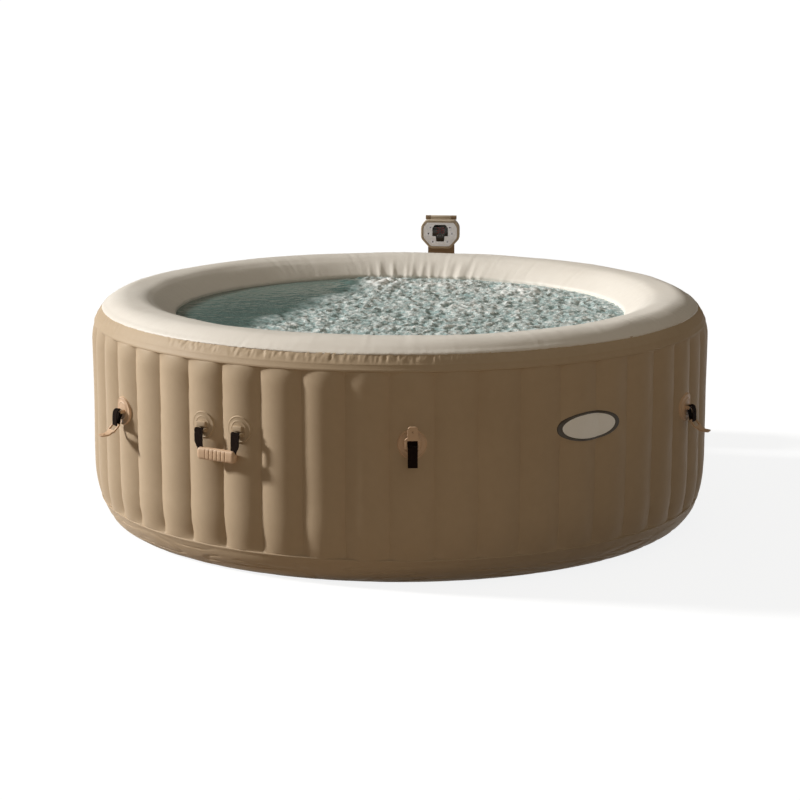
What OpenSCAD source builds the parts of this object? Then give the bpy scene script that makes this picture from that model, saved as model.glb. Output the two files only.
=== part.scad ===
/* [Tub] */
// Outside diameter over the flutes
tub_d = 1960; // [1880:10:2160]
// Height of the wall
tub_h = 710; // [690:5:760]
// Inside diameter
bore_d = 1450; // [1380:10:1480]
// Least thickness of the outer skin
skin_t = 8; // [6:0.5:10]
// Thickness of the liner
liner_t = 6; // [4:0.5:8]
// Thickness of the floor sheet
floor_t = 8; // [5:0.5:12]
// Thickness of the web sheets inside the wall
web_t = 1.5; // [1:0.1:3]
// Gap left at a weld or a fixed fit
fit = 0.2; // [0.1:0.05:0.3]
// Running gap round a piece that moves
play = 0.3; // [0.2:0.05:0.5]

/* [Wall profile] */
// Number of flutes round the wall
flute_n = 48; // [46:2:50]
// Depth of a flute
flute_depth = 15; // [10:1:18]
// Height of the weld line over the base
base_seam_z = 80; // [70:5:100]
// Depth of the cuff's lower seam below the top
cuff_seam_drop = 81; // [70:1:95]
// Depth of the rim's outer edge below the top
rim_seam_drop = 37; // [30:1:45]
// Width of the curve at the foot of the wall
base_round_w = 90; // [70:5:100]
// Height of the curve at the foot of the wall
base_round_h = 190; // [150:10:220]
// Width of the curve from the wall to the top
top_round_w = 114; // [100:2:120]
// Height of the curve from the wall to the top
top_round_h = 130; // [110:5:150]
// Depth of the rim's inner edge below the top
rim_round_h = 60; // [50:5:70]
// Thickness of the rim panel
rim_t = 8; // [6:0.5:10]

/* [Bubble channel] */
// Width of the channel on the floor
channel_w = 60; // [40:5:80]
// Height of the channel
channel_h = 50; // [40:5:70]
// Wall of the channel
channel_t = 4; // [3:0.5:6]
// Number of air holes
bubble_n = 36; // [24:2:48]
// Diameter of an air hole
bubble_d = 6; // [4:0.5:8]

/* [Cover latches] */
// Height of the latch patches
latch_z = 425; // [400:5:460]
// Diameter of a latch patch
latch_patch_d = 86; // [80:1:95]
// Thickness of a patch
patch_t = 4; // [3.4:0.2:5]
// Height of the ridges on a patch
patch_ridge = 1.5; // [1:0.1:2]
// Width of the webbing
strap_w = 28; // [24:1:30]
// Thickness of the webbing
strap_t = 2.5; // [2:0.1:3]
// Diameter of the bars that the webbing goes round
bar_d = 7; // [6:0.2:8]
// Length of the front loop between its bars
front_loop = 20; // [18:1:26]
// Length of the other loops between their bars
side_loop = 40; // [38:1:50]
// Length of the loose end at the front latch
tail_l = 56; // [50:2:90]
// How far the loose end stands off the loop
tail_off = 0.6; // [0.4:0.1:1]
// Width of a latch tongue at its frame
tongue_w = 44; // [42:1:50]
// Width of a latch tongue at its tab
tab_w = 32; // [28:1:36]
// Length of a latch tongue
tongue_l = 62; // [58:1:70]
// Thickness of a latch tongue
tongue_t = 5; // [4:0.2:6]

/* [Carry handles] */
// Height of the handle bars
handle_z = 430; // [400:5:460]
// Height of the middle of a handle patch above its bar
handle_patch_rise = 13; // [0:1:16]
// Diameter of a handle patch
handle_patch_d = 80; // [74:1:86]
// Drop from the bars to the middle of the grip
grip_drop = 66; // [62:1:80]
// Length of the grip
grip_l = 136; // [130:1:150]
// Height of the grip
grip_h = 36; // [32:1:40]
// Depth of the grip
grip_w = 22; // [20:1:26]

/* [Badge] */
// Width of the blank oval badge
badge_w = 228; // [200:4:250]
// Height of the badge
badge_h = 86; // [70:2:100]
// Thickness of the badge
badge_t = 1.5; // [1:0.1:2.5]

/* [Valves] */
// Height of the inflation valve
valve_z = 480; // [440:5:520]
// Outside diameter of the valve tube
valve_d = 40; // [36:1:44]
// Travel of the valve plunger
valve_travel = 6; // [4:0.5:7]
// Height of the drain
drain_z = 130; // [125:5:150]
// Outside diameter of the drain tube
drain_d = 36; // [32:1:40]

/* [Water and air ports] */
// Height of the water ports
port_z = 160; // [155:5:180]
// Outside diameter of a water port
port_d = 56; // [50:1:58]
// Height of the air port
air_z = 440; // [420:5:450]
// Outside diameter of the air port
air_d = 40; // [36:1:44]
// Wall of the port tubes
tube_t = 5; // [4:0.5:6]
// Length of a union nut
nut_l = 34; // [30:1:36]
// Diameter of the filter housing
filter_d = 112; // [100:2:120]
// Length of the filter housing
filter_l = 140; // [120:5:150]

/* [Control unit] */
// Space between the tub and the control unit
unit_gap = 52; // [50:1:70]
// Width of the control unit
unit_w = 340; // [330:5:380]
// Depth of the control unit
unit_d = 300; // [290:5:340]
// Height of the control unit to its shoulder
unit_h = 600; // [580:5:620]
// Radius of the unit's upright corners
unit_r = 60; // [50:2:70]
// Thickness of the unit's shells
shell_t = 4; // [3:0.5:5]
// Height of the rubber feet
foot_h = 12; // [8:1:16]
// Height of the tray above the feet
tray_h = 33; // [28:1:36]

/* [Control head] */
// Sideways place of the neck on the unit
neck_x = 36; // [20:2:50]
// Width of the neck
neck_w = 98; // [94:1:104]
// Height of the head's hinge line above the unit's shoulder
hinge_rise = 193; // [185:1:210]
// Width of the head
head_w = 143; // [140:1:150]
// Height of the head
head_h = 102; // [98:1:106]
// Depth of the head
head_d = 45; // [42:1:55]
// Width of the key panel
face_w = 121; // [120:1:124]
// Height of the key panel
face_h = 88; // [87:1:90]
// Diameter of a key
key_d = 10; // [8:0.5:10]
// Travel of a key
key_travel = 1.2; // [0.8:0.1:1.5]

/* [Hidden] */
$fn = 64;
round_fn = 360;
taupe = "#9c8b76";
cream = "#ece4d6";
tan = "#c3a887";
webbing = "#26221f";
brown = "#4b3d33";
grey = "#c9cad6";

// The wall: radii of the crests, the flute curve, the hollow inside and the envelope
crest_r = tub_d / 2;
bore_r = bore_d / 2;
liner_r = bore_r + liner_t;
pitch = 360 / flute_n;
cuff_seam_z = tub_h - cuff_seam_drop;
rim_seam_z = tub_h - rim_seam_drop;
rim_edge_z = tub_h - rim_round_h;
top_r = crest_r - top_round_w;
top_round_z = tub_h - top_round_h;
floor_r = crest_r - base_round_w - 10;
valley_run = (crest_r - flute_depth) * sin(pitch / 2);
valley_drop = crest_r - (crest_r - flute_depth) * cos(pitch / 2);
flute_r = (pow(valley_drop, 2) + pow(valley_run, 2)) / (2 * valley_drop);
function quarter(t) = sqrt(max(0, 1 - t * t));
function env(z) =
  z < base_round_h ? crest_r - base_round_w + base_round_w * quarter((base_round_h - z) / base_round_h)
  : z > top_round_z ? top_r + top_round_w * quarter((z - top_round_z) / top_round_h)
  : crest_r;
function env_run(z0, z1, steps) = [for (i = [0:steps]) let (z = z0 + (z1 - z0) * i / steps) [env(z), z]];
hollow_r = min(crest_r - flute_depth, env(base_seam_z), env(cuff_seam_z)) - skin_t;
wall_profile = concat(env_run(base_seam_z, base_round_h, 4), env_run(top_round_z, cuff_seam_z, 3));

// Ports: the water ports lie between two webs, the air port on the flute between them
port_x = liner_r * sin(pitch);
collar_d = port_d + 20;
air_collar_d = air_d + 16;
valve_collar_d = valve_d + 16;
drain_collar_d = drain_d + 16;
rear_i = flute_n / 2;
valve_i = rear_i + 3;
drain_i = rear_i - 6;
badge_i = 5;
badge_x = pitch / 4 * PI / 180 * crest_r;
port_end_y = crest_r + 32;
gasket_t = 2;
stub_y = port_end_y + gasket_t;

// Latches and handles: bars stand off the patches, webbing goes round them
bar_r = bar_d / 2;
loop_in = bar_r + play;
loop_out = loop_in + strap_t;
cheek_t = 4;
cheek_x = strap_w / 2 + 2 * play + cheek_t / 2;
bar_off = patch_t + loop_out + 3;
latch_bar_n = crest_r + bar_off;
front_tilt = 100;
side_tilt = 165;
front_tongue_tilt = 5;
side_tongue_tilt = 125;
latch_i = [1, 9, -7, 17, -15];
handle_i = [-3.5, rear_i - 3.5];
handle_x = crest_r * sin(pitch / 2);
handle_face_n = crest_r * cos(pitch / 2);
handle_bar_n = handle_face_n + bar_off;
grip_n = handle_bar_n + (loop_in + loop_out) / 2;

// Control unit: front, middle and back, the tray and the neck
unit_y0 = crest_r + unit_gap;
unit_yc = unit_y0 + unit_d / 2;
unit_y1 = unit_y0 + unit_d;
tray_z = foot_h + tray_h;
tray_floor_z = foot_h + 5;
crown_r = 700;
crown_drop = crown_r - sqrt(pow(crown_r, 2) - pow(unit_d / 2, 2));
cavity_z = unit_h - crown_drop - shell_t - 4;
screw_x = unit_w / 2 - 30;
screw_z = [tray_z + 35, (tray_z + cavity_z) / 2 + 10, cavity_z - 36];
screw_seat_y = unit_y1 - 18;
boss_r = 7;
port_cut = unit_r / 4;
pump_y = unit_y0 + 60;
volute_r = 58;
volute_l = 50;
motor_r = 50;
motor_l = 120;
pump_foot_w = 60;
shaft_r = 5;
heater_r = 36;
pipe_r = 20;
pipe_bend = 36;
pipe_rise = 90;
pipe_top = 60;
pipe_back = 60;
pipe_y0 = pump_y + volute_l / 2;
pipe_y1 = unit_yc + pipe_back;
pipe_low_z = port_z + pipe_rise;
pipe_high_z = pipe_low_z + pipe_top;
blower_r = 85;
blower_z0 = air_z - 40;
blower_z1 = air_z + 40;
spigot_reach = 8;
motor_gap = 6;
cap_h = cavity_z - spigot_reach - motor_gap - blower_z1;
neck_y = unit_yc + 33;
neck_r = 30;
neck_boss_r = neck_r + 14;
neck_seat_z = unit_h + 4;
plate_y = neck_y + 14;
plate_t = 10;
hinge_y = plate_y - 3;
hinge_z = unit_h + hinge_rise;
knuckle_r = 8;
pin_r = 3.5;
knuckle_in = 38;
knuckle_out = neck_w / 2 + 8;
head_back_y = plate_y - 8;
head_front_y = head_back_y - head_d;
head_top_z = hinge_z - knuckle_r;
head_mid_z = head_top_z - head_h / 2;
top_cut = [0.22, 0.37];
low_cut = [0.47, 0.72];
bezel_t = 8;
face_t = 4;
case_t = 3;
board_t = 1.6;
board_w = 90;
board_h = 64;
post_x = board_w / 2 - 12;
post_z = board_h / 2 - 7;
board_y = head_front_y + bezel_t + 8;
key_places = [[-36, 27], [36, 27], [-44, 4], [44, 4], [-27, -26], [27, -26]];

// A thing on a flute, facing outwards along -Y before it is turned
module on_flute(i, z) rotate(i * pitch) translate([0, 0, z]) children();

// A rod along the outward direction between two distances from the axis of the tub
module out_rod(n0, n1, r) translate([0, -n0, 0]) rotate([90, 0, 0]) cylinder(r = r, h = n1 - n0);

// A rod along Y between two places, at a sideways place and a height
module y_rod(x, z, y0, y1, r) translate([x, y0, z]) rotate([-90, 0, 0]) cylinder(r = r, h = y1 - y0);
module y_tube(x, z, y0, y1, r, t) difference() {
  y_rod(x, z, y0, y1, r);
  y_rod(x, z, y0 - 1, y1 + 1, r - t);
}
module x_rod(l, r) rotate([0, 90, 0]) cylinder(r = r, h = l, center = true);
module big_disc(r, z0, z1) translate([0, 0, z0]) cylinder(r = r, h = z1 - z0, $fn = round_fn);

// Plan of the fluted wall
module flute_plan() {
  circle(r = crest_r - flute_r / 2, $fn = round_fn);
  for (i = [0:flute_n - 1]) rotate(i * pitch) translate([0, flute_r - crest_r])
    circle(r = flute_r, $fn = 120);
}

// A round patch of sheet wrapped on one flute, from lo to hi above its face
module flute_patch(d, lo, hi) intersection() {
  out_rod(crest_r - flute_r, crest_r + 20, d / 2);
  translate([0, flute_r - crest_r, -d]) difference() {
    cylinder(r = flute_r + hi, h = 2 * d, $fn = 120);
    translate([0, 0, -1]) cylinder(r = flute_r + lo, h = 2 * d + 2, $fn = 120);
  }
}
module ridged_patch(d) {
  flute_patch(d, fit, fit + patch_t);
  for (k = [1, 0.62]) difference() {
    flute_patch(d * k, fit, fit + patch_t + patch_ridge);
    out_rod(crest_r - flute_r, crest_r + 20, d * k / 2 - 3.5);
  }
}

// The bar that holds a strap, on two cheeks that stand on the patch
module bar_bridge(face_n) {
  translate([0, -face_n - bar_off, 0]) x_rod(strap_w + 4 * play + 2 * cheek_t, bar_r);
  foot = fit + 1;
  for (s = [-1, 1]) translate([s * cheek_x, -face_n - (foot + bar_off + bar_r) / 2, 0])
    cube([cheek_t, bar_off + bar_r - foot, bar_d + 3], center = true);
}

// Cuts for everything that passes through the wall
module wall_cuts() {
  for (s = [-1, 1]) y_rod(s * port_x, port_z, bore_r, crest_r + 20, collar_d / 2 + fit);
  y_rod(0, air_z, bore_r, crest_r + 20, air_collar_d / 2 + fit);
  on_flute(valve_i, valve_z) out_rod(bore_r, crest_r + 20, valve_collar_d / 2 + fit);
  on_flute(drain_i, drain_z) out_rod(bore_r, crest_r + 20, drain_collar_d / 2 + fit);
}

module outer_wall() color(taupe) difference() {
  intersection() {
    translate([0, 0, base_seam_z]) linear_extrude(cuff_seam_z - base_seam_z) flute_plan();
    rotate_extrude($fn = round_fn)
      polygon(concat([[hollow_r - 20, base_seam_z]], wall_profile, [[hollow_r - 20, cuff_seam_z]]));
  }
  big_disc(hollow_r, base_seam_z - 1, cuff_seam_z + 1);
  wall_cuts();
}

module inner_wall() color(cream) difference() {
  big_disc(liner_r, floor_t, rim_edge_z);
  big_disc(bore_r, floor_t - 1, rim_edge_z + 1);
  for (s = [-1, 1]) y_rod(s * port_x, port_z, bore_r / 2, crest_r, port_d / 2 + fit);
  y_rod(0, air_z, bore_r / 2, crest_r, air_d / 2 + fit);
  on_flute(drain_i, drain_z) out_rod(bore_r / 2, crest_r, drain_d / 2 + fit);
}

// The rim: from the cuff over the top and down to the liner, as a shell welded from four arcs
function rim_out(t) = let (a0 = asin((rim_seam_z - top_round_z) / (top_round_h - t)))
  [for (k = [0:6]) let (a = a0 + (90 - a0) * k / 6)
    [top_r + (top_round_w - t) * cos(a), top_round_z + (top_round_h - t) * sin(a)]];
function rim_in(t, u) = [for (k = [1:8]) let (a = 90 * k / 8)
  [top_r - (top_r - bore_r - u) * sin(a), rim_edge_z + (rim_round_h - t) * cos(a)]];
function backwards(p) = [for (i = [len(p) - 1:-1:0]) p[i]];
rim_skin = rim_out(0);
rim_under = rim_out(rim_t);
rim_arcs = 4;
module rim_panel() color(cream) for (q = [0:rim_arcs - 1]) rotate((q + 0.5) * 360 / rim_arcs)
  rotate_extrude(angle = 360 / rim_arcs - asin(fit / bore_r), $fn = round_fn)
    polygon(concat(rim_skin, rim_in(0, 0), backwards(concat(rim_under, rim_in(rim_t, liner_t)))));

module cuff_band() color(taupe) rotate_extrude($fn = round_fn)
  polygon(concat(env_run(cuff_seam_z, rim_seam_z, 4),
    [[rim_under[0][0], rim_seam_z], [hollow_r, cuff_seam_z]]));

module base_band() color(taupe) rotate_extrude($fn = round_fn)
  polygon(concat([[floor_r, 0]], env_run(0, 8, 2), env_run(16, base_seam_z, 4),
    [[hollow_r, base_seam_z], [floor_r, floor_t]]));

module tub_floor() color(taupe) big_disc(floor_r - fit, 0, floor_t);

module wall_webs() color(cream) for (i = [0:flute_n - 1]) rotate((i + 0.5) * pitch)
  translate([-web_t / 2, -hollow_r + fit + 0.5, base_seam_z + 12])
    cube([web_t, hollow_r - liner_r - 2 * fit - 0.5, cuff_seam_z - base_seam_z - 24]);

// Ring on the floor against the liner, with a flat duct that brings the air down to it
duct_w = air_d + 24;
duct_n = 30;
module bubble_channel() color(cream) difference() {
  union() {
    rotate_extrude($fn = round_fn) channel_half(0);
    intersection() {
      translate([-duct_w / 2, bore_r - duct_n, floor_t]) cube([duct_w, duct_n, air_z + duct_w / 2 - floor_t]);
      big_disc(bore_r - fit, 0, tub_h);
    }
  }
  rotate_extrude($fn = round_fn) channel_half(channel_t);
  translate([channel_t - duct_w / 2, bore_r - duct_n + channel_t, floor_t + channel_t])
    cube([duct_w - 2 * channel_t, duct_n - 3 * channel_t, air_z + duct_w / 2 - floor_t - 2 * channel_t]);
  y_rod(0, air_z, bore_r - duct_n / 2, bore_r + 1, air_d / 2 - tube_t);
  for (i = [0:bubble_n - 1]) rotate((i + 0.5) * 360 / bubble_n)
    translate([0, channel_w / 2 - bore_r, floor_t + channel_h / 2]) cylinder(d = bubble_d, h = channel_h);
}
module channel_half(t) {
  w = channel_w - 2 * t;
  h = channel_h - 2 * t;
  translate([bore_r - fit - t, floor_t + t])
    polygon(concat([[0, 0]], [for (k = [0:5]) let (a = 90 * k / 5) [-w * pow(cos(a), 0.7), h * sin(a)]]));
}

module handle_patches() color(taupe) for (h = handle_i) {
  for (s = [-0.5, 0.5]) on_flute(h + s, handle_z + handle_patch_rise) ridged_patch(handle_patch_d);
  for (s = [-1, 1]) on_flute(h, handle_z) translate([s * handle_x, 0, 0]) bar_bridge(handle_face_n);
}

module latch_patches() color(tan) for (i = latch_i) on_flute(i, latch_z) {
  ridged_patch(latch_patch_d);
  bar_bridge(crest_r);
}

// A loop of webbing from the patch bar to the tongue bar
module strap_loop(l) rotate([90, 0, 90]) linear_extrude(strap_w, center = true) difference() {
  loop_plan(l, loop_out);
  loop_plan(l, loop_in);
}
module loop_plan(l, r) {
  circle(r);
  translate([0, l]) circle(r);
  translate([-r, 0]) square([2 * r, l]);
}
module at_latch_bar(i, tilt) on_flute(i, latch_z)
  translate([0, -latch_bar_n, 0]) rotate([tilt, 0, 0]) children();

// Side view of the front loop with its loose end, outwards along X
function arc(c, r, a0, a1) = [for (k = [0:12]) let (a = a0 + (a1 - a0) * k / 12) c + r * [cos(a), sin(a)]];
module tailed_plan() {
  lean = 90 - front_tilt;
  end = front_loop * [cos(lean), sin(lean)];
  tail_x = end[0] + loop_out + tail_off;
  slip = acos((loop_in + tail_off) / loop_out);
  polygon(concat(arc([0, 0], loop_out, lean + 90, lean + 270), arc(end, loop_out, lean - 90, -slip),
    [[tail_x - strap_t, end[1] - tail_l], [tail_x, end[1] - tail_l], [tail_x, end[1]]],
    arc(end, loop_out, 0, lean + 90)));
}
module tailed_loop() rotate([90, 0, -90]) linear_extrude(strap_w, center = true) difference() {
  tailed_plan();
  rotate(-front_tilt) loop_plan(front_loop, loop_in);
}
module latch_straps() color(webbing) for (i = latch_i)
  if (i == latch_i[0]) at_latch_bar(i, 0) tailed_loop();
  else at_latch_bar(i, side_tilt) strap_loop(side_loop);

// A flat tongue: a frame with a bar at one end, and a narrower tab with a small hole in it
module tongue() color(tan) {
  arm = (tongue_w - strap_w) / 2 - 2;
  window = loop_out + 14;
  tab_r = 6;
  rotate([90, 0, 0]) linear_extrude(tongue_t, center = true) difference() {
    union() {
      translate([-tongue_w / 2, 0]) square([tongue_w, window + tab_r]);
      translate([-tab_w / 2, 0]) square([tab_w, tongue_l - tab_r]);
      for (s = [-1, 1]) translate([s * (tab_w / 2 - tab_r), tongue_l - tab_r]) circle(tab_r);
      translate([tab_r - tab_w / 2, 0]) square([tab_w - 2 * tab_r, tongue_l]);
    }
    translate([arm - tongue_w / 2, -1]) square([tongue_w - 2 * arm, window + 1]);
    translate([0, tongue_l - tongue_l / 4]) circle(2.5);
  }
  x_rod(tongue_w, bar_r - play);
}
module latch_tongue(k) {
  tilt = k == 0 ? front_tilt : side_tilt;
  turn = (k == 0 ? front_tongue_tilt : side_tongue_tilt) - tilt;
  loop = k == 0 ? front_loop : side_loop;
  at_latch_bar(latch_i[k], tilt) translate([0, 0, loop]) rotate([turn, 0, 0]) tongue();
}
module latch_tongue_front() latch_tongue(0);
module latch_tongue_right() latch_tongue(1);
module latch_tongue_left() latch_tongue(2);
module latch_tongue_back_right() latch_tongue(3);
module latch_tongue_back_left() latch_tongue(4);

// A carry handle: two straps round the bars, and a grip with finger grooves
module handle_straps(i) color(webbing) on_flute(i, handle_z) for (s = [-1, 1])
  translate([s * handle_x, -handle_bar_n, 0]) union() {
    difference() {
      x_rod(strap_w, loop_out);
      x_rod(strap_w + 2, loop_in);
    }
    translate([-strap_w / 2, -loop_out, 8 - grip_drop]) cube([strap_w, strap_t, grip_drop - 8]);
  }
module handle_grip(i) color(tan) on_flute(i, handle_z) translate([0, -grip_n, -grip_drop]) difference() {
  rotate([90, 0, 90]) linear_extrude(grip_l, center = true) grip_plan();
  for (s = [-1, 1]) translate([s * handle_x, 0, 8 + grip_h / 2])
    cube([strap_w + 2 * play, strap_t + 2 * play, grip_h + 2 * play], center = true);
  for (k = [-2.5:1:2.5]) translate([k * 14, -grip_w / 2 - 2.4, -grip_h]) cylinder(r = 4, h = 2 * grip_h);
}
module grip_plan() {
  for (s = [-1, 1]) translate([0, s * (grip_h - grip_w) / 2]) circle(grip_w / 2);
  square([grip_w, grip_h - grip_w], center = true);
}
module front_handle_straps() handle_straps(handle_i[0]);
module front_handle_grip() handle_grip(handle_i[0]);
module rear_handle_straps() handle_straps(handle_i[1]);
module rear_handle_grip() handle_grip(handle_i[1]);

// The oval badge follows the flutes under it
module badge_plan(rise) for (s = [-1, 0, 1]) rotate(s * pitch)
  translate([0, flute_r - crest_r]) circle(r = flute_r + rise, $fn = 120);
module badge_plate() color(cream) on_flute(badge_i, latch_z + 17) intersection() {
  translate([0, 0, -badge_h]) linear_extrude(2 * badge_h) difference() {
    badge_plan(fit + badge_t);
    badge_plan(fit);
  }
  translate([badge_x, -crest_r + 60, 0]) rotate([90, 0, 0]) linear_extrude(100)
    polygon([for (a = [0:7.5:352.5]) [badge_w / 2 * cos(a), badge_h / 2 * sin(a)]]);
}

// Inflation valve: a collar and tube in the wall, a plunger with a seal disc, a spring and a screw cap
valve_in_n = hollow_r - 2;
valve_out_n = crest_r + 10;
button_n = crest_r + 2;
stem_r = 3.5;
spider_t = 4;
spider_n = button_n - 2 * valve_travel - spider_t;
module at_valve() on_flute(valve_i, valve_z) children();
module valve_body() color(tan) at_valve() {
  difference() {
    union() {
      out_rod(valve_in_n, crest_r + 3, valve_collar_d / 2);
      out_rod(valve_in_n, valve_out_n, valve_d / 2);
    }
    out_rod(valve_in_n - 9, valve_out_n + 1, valve_d / 2 - 4);
  }
  difference() {
    union() {
      out_rod(spider_n, spider_n + spider_t, 2 * stem_r);
      for (a = [0, 120, 240]) rotate([0, a, 0]) translate([-2, -spider_n - spider_t, 0])
        cube([4, spider_t, valve_d / 2 - 3]);
    }
    out_rod(spider_n - 1, spider_n + spider_t + 1, stem_r + fit);
  }
}
module valve_plunger() color(webbing) at_valve() {
  out_rod(valve_in_n - play - 4, button_n + 2, stem_r);
  out_rod(button_n, button_n + 4, 8);
  out_rod(valve_in_n - play - 4, valve_in_n - play, valve_d / 2 - 2);
}
module valve_spring() color("silver") at_valve() difference() {
  out_rod(spider_n + spider_t + fit, button_n - fit, stem_r + 3);
  out_rod(spider_n, button_n + 4, stem_r + play);
}
module screw_cap(n0, n1, inner_r) difference() {
  union() {
    out_rod(n0, n1, inner_r + play + 5);
    for (a = [0:30:330]) rotate([0, a, 0]) translate([0, -n0, inner_r + play + 4.4]) rotate([90, 0, 0])
      cylinder(r = 1.6, h = n1 - n0 - 2, $fn = 24);
  }
  out_rod(n0 - 1, n1 - 3, inner_r + play);
}
module valve_cap() color(tan) at_valve() screw_cap(crest_r + 3 + play, valve_out_n + play + 3, valve_d / 2);

// Drain: a tube through both walls with a screw cap outside
module drain_body() color(tan) on_flute(drain_i, drain_z) difference() {
  union() {
    out_rod(bore_r - 4, crest_r + 18, drain_d / 2);
    out_rod(hollow_r - 2, crest_r + 3, drain_collar_d / 2);
    intersection() {
      out_rod(bore_r - 8, bore_r + 4, drain_collar_d / 2);
      translate([0, 0, -drain_d]) cylinder(r = bore_r - fit, h = 2 * drain_d, $fn = round_fn);
    }
  }
  out_rod(bore_r - 20, crest_r + 19, drain_d / 2 - 4);
}
module drain_cap() color(tan) on_flute(drain_i, drain_z)
  screw_cap(crest_r + 3 + play, crest_r + 18 + play + 3, drain_d / 2);

// Port fittings: a tube through both walls, a collar in the outer one and a flange on the liner
flange_w = 34;
module wall_fitting(x, z, d, collar) difference() {
  union() {
    y_rod(x, z, bore_r - 20, port_end_y, d / 2);
    y_rod(x, z, hollow_r - 2, crest_r + 3, collar / 2);
    y_rod(x, z, bore_r - flange_w, bore_r, collar / 2);
  }
  difference() {
    y_rod(x, z, bore_r - flange_w - 6, bore_r + 10, collar);
    big_disc(bore_r - fit, 0, tub_h);
    y_rod(x, z, bore_r - 16, crest_r, d / 2);
  }
  y_rod(x, z, bore_r - 50, port_end_y + 1, d / 2 - tube_t);
}
module wall_fittings() color(brown) {
  for (s = [-1, 1]) wall_fitting(s * port_x, port_z, port_d, collar_d);
  y_tube(0, air_z, bore_r, port_end_y, air_d / 2, tube_t);
  y_tube(0, air_z, hollow_r - 2, crest_r + 3, air_collar_d / 2, (air_collar_d - air_d) / 2 + 1);
}
module fitting_gaskets() color("black") {
  for (s = [-1, 1]) y_tube(s * port_x, port_z, port_end_y, stub_y, port_d / 2 - 0.5, tube_t - 0.5);
  y_tube(0, air_z, port_end_y, stub_y, air_d / 2 - 0.5, tube_t - 0.5);
}
module union_nut(x, z, d) color(brown) difference() {
  union() {
    y_rod(x, z, stub_y - nut_l / 2, stub_y + nut_l / 2, d / 2 + play + 6);
    for (a = [0:30:330]) translate([x, stub_y - nut_l / 2 + 1, z]) rotate([-90, 0, 0]) rotate(a)
      translate([d / 2 + play + 5.5, 0, 0]) cylinder(r = 2.4, h = nut_l - 2, $fn = 24);
  }
  y_rod(x, z, stub_y - nut_l, stub_y + nut_l, d / 2 + play);
}
module union_nut_inlet() union_nut(-port_x, port_z, port_d);
module union_nut_outlet() union_nut(port_x, port_z, port_d);
module union_nut_air() union_nut(0, air_z, air_d);

// Inside the tub: a strainer on the outlet, a filter cage with its cartridge on the inlet
module strainer_grid() color(brown) difference() {
  y_rod(port_x, port_z, bore_r - flange_w - 6, bore_r - flange_w, collar_d / 2);
  for (a = [0:60:300], r = [12, 24]) translate([port_x + r * cos(a), 0, port_z + r * sin(a)])
    y_rod(0, 0, bore_r - 60, bore_r, 3);
}
filter_y1 = bore_r - flange_w;
filter_y0 = filter_y1 - filter_l;
module filter_housing() color(grey) difference() {
  y_rod(-port_x, port_z, filter_y0, filter_y1, filter_d / 2);
  y_rod(-port_x, port_z, filter_y0 + 4, filter_y1 - 4, filter_d / 2 - 4);
  y_rod(-port_x, port_z, filter_y1 - 5, filter_y1 + 1, port_d / 2 - tube_t);
  for (a = [0:45:315], k = [1:4]) translate([-port_x, filter_y0 + filter_l * k / 5, port_z]) rotate([0, a, 0])
    cylinder(r = 7, h = filter_d);
}
module filter_cartridge() color("white") difference() {
  union() {
    y_rod(-port_x, port_z, filter_y0 + 4 + fit, filter_y0 + 10, filter_d / 2 - 6);
    y_rod(-port_x, port_z, filter_y1 - 10, filter_y1 - 4 - fit, filter_d / 2 - 6);
    translate([-port_x, filter_y0 + 9, port_z]) rotate([-90, 0, 0]) linear_extrude(filter_l - 18)
      polygon([for (a = [0:5:355]) let (r = filter_d / 2 - (a % 10 == 0 ? 9 : 17)) [r * cos(a), r * sin(a)]]);
  }
  y_rod(-port_x, port_z, filter_y0 + 14, filter_y1, port_d / 2 - tube_t);
}

// Control unit: a tray on four feet, two shells that meet in the middle, and their screws
module unit_plan(inset) {
  w = unit_w - 2 * inset;
  d = unit_d - 2 * inset;
  r = unit_r - inset;
  square([w - 2 * r, d], center = true);
  square([w, d - 2 * r], center = true);
  for (sx = [-1, 1], sy = [-1, 1]) translate([sx * (w / 2 - r), sy * (d / 2 - r)]) circle(r);
}
module unit_block(z0, z1, inset) translate([0, unit_yc, z0]) linear_extrude(z1 - z0) unit_plan(inset);
module unit_half(rear) translate([-unit_w, rear ? unit_yc : unit_yc - unit_d, 0])
  cube([2 * unit_w, unit_d, 2 * unit_h]);
module unit_tray() color(brown) difference() {
  unit_block(foot_h, tray_z, 0);
  unit_block(tray_floor_z, tray_z + 1, 2 * shell_t);
}
module unit_feet() color("black") for (sx = [-1, 1], sy = [-1, 1])
  translate([sx * (unit_w / 2 - 60), unit_yc + sy * (unit_d / 2 - 60), 0]) cylinder(r = 20, h = foot_h);
module screw_places() for (s = [-1, 1], z = screw_z) translate([s * screw_x, 0, z]) children();
module unit_shell(rear) difference() {
  union() {
    difference() {
      intersection() {
        unit_block(tray_z, unit_h, 0);
        unit_half(rear);
        translate([0, unit_yc, unit_h - crown_r]) rotate([0, 90, 0])
          cylinder(r = crown_r, h = 2 * unit_w, center = true, $fn = round_fn);
      }
      unit_block(tray_z - 1, cavity_z, shell_t);
    }
    screw_places() if (rear) y_rod(0, 0, unit_yc, screw_seat_y + 2, boss_r);
    else y_rod(0, 0, unit_y0 + shell_t / 2, unit_yc, boss_r);
  }
  screw_places() y_rod(0, 0, unit_yc - 30, unit_y1, 2 + fit);
  screw_places() y_rod(0, 0, screw_seat_y, unit_y1 + 1, 5);
}
module unit_front_shell() color(taupe) difference() {
  unit_shell(false);
  for (s = [-1, 1]) y_rod(s * port_x, port_z, unit_y0 - 1, unit_y0 + port_cut, port_d / 2 + fit);
  y_rod(0, air_z, unit_y0 - 1, unit_y0 + port_cut, air_d / 2 + fit);
  translate([neck_x, neck_y, cavity_z - 1]) cylinder(r = neck_boss_r + fit, h = unit_h - cavity_z + 2);
}
vent_n = 9;
vent_w = 140;
vent_h = 6;
vent_step = 14;
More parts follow.
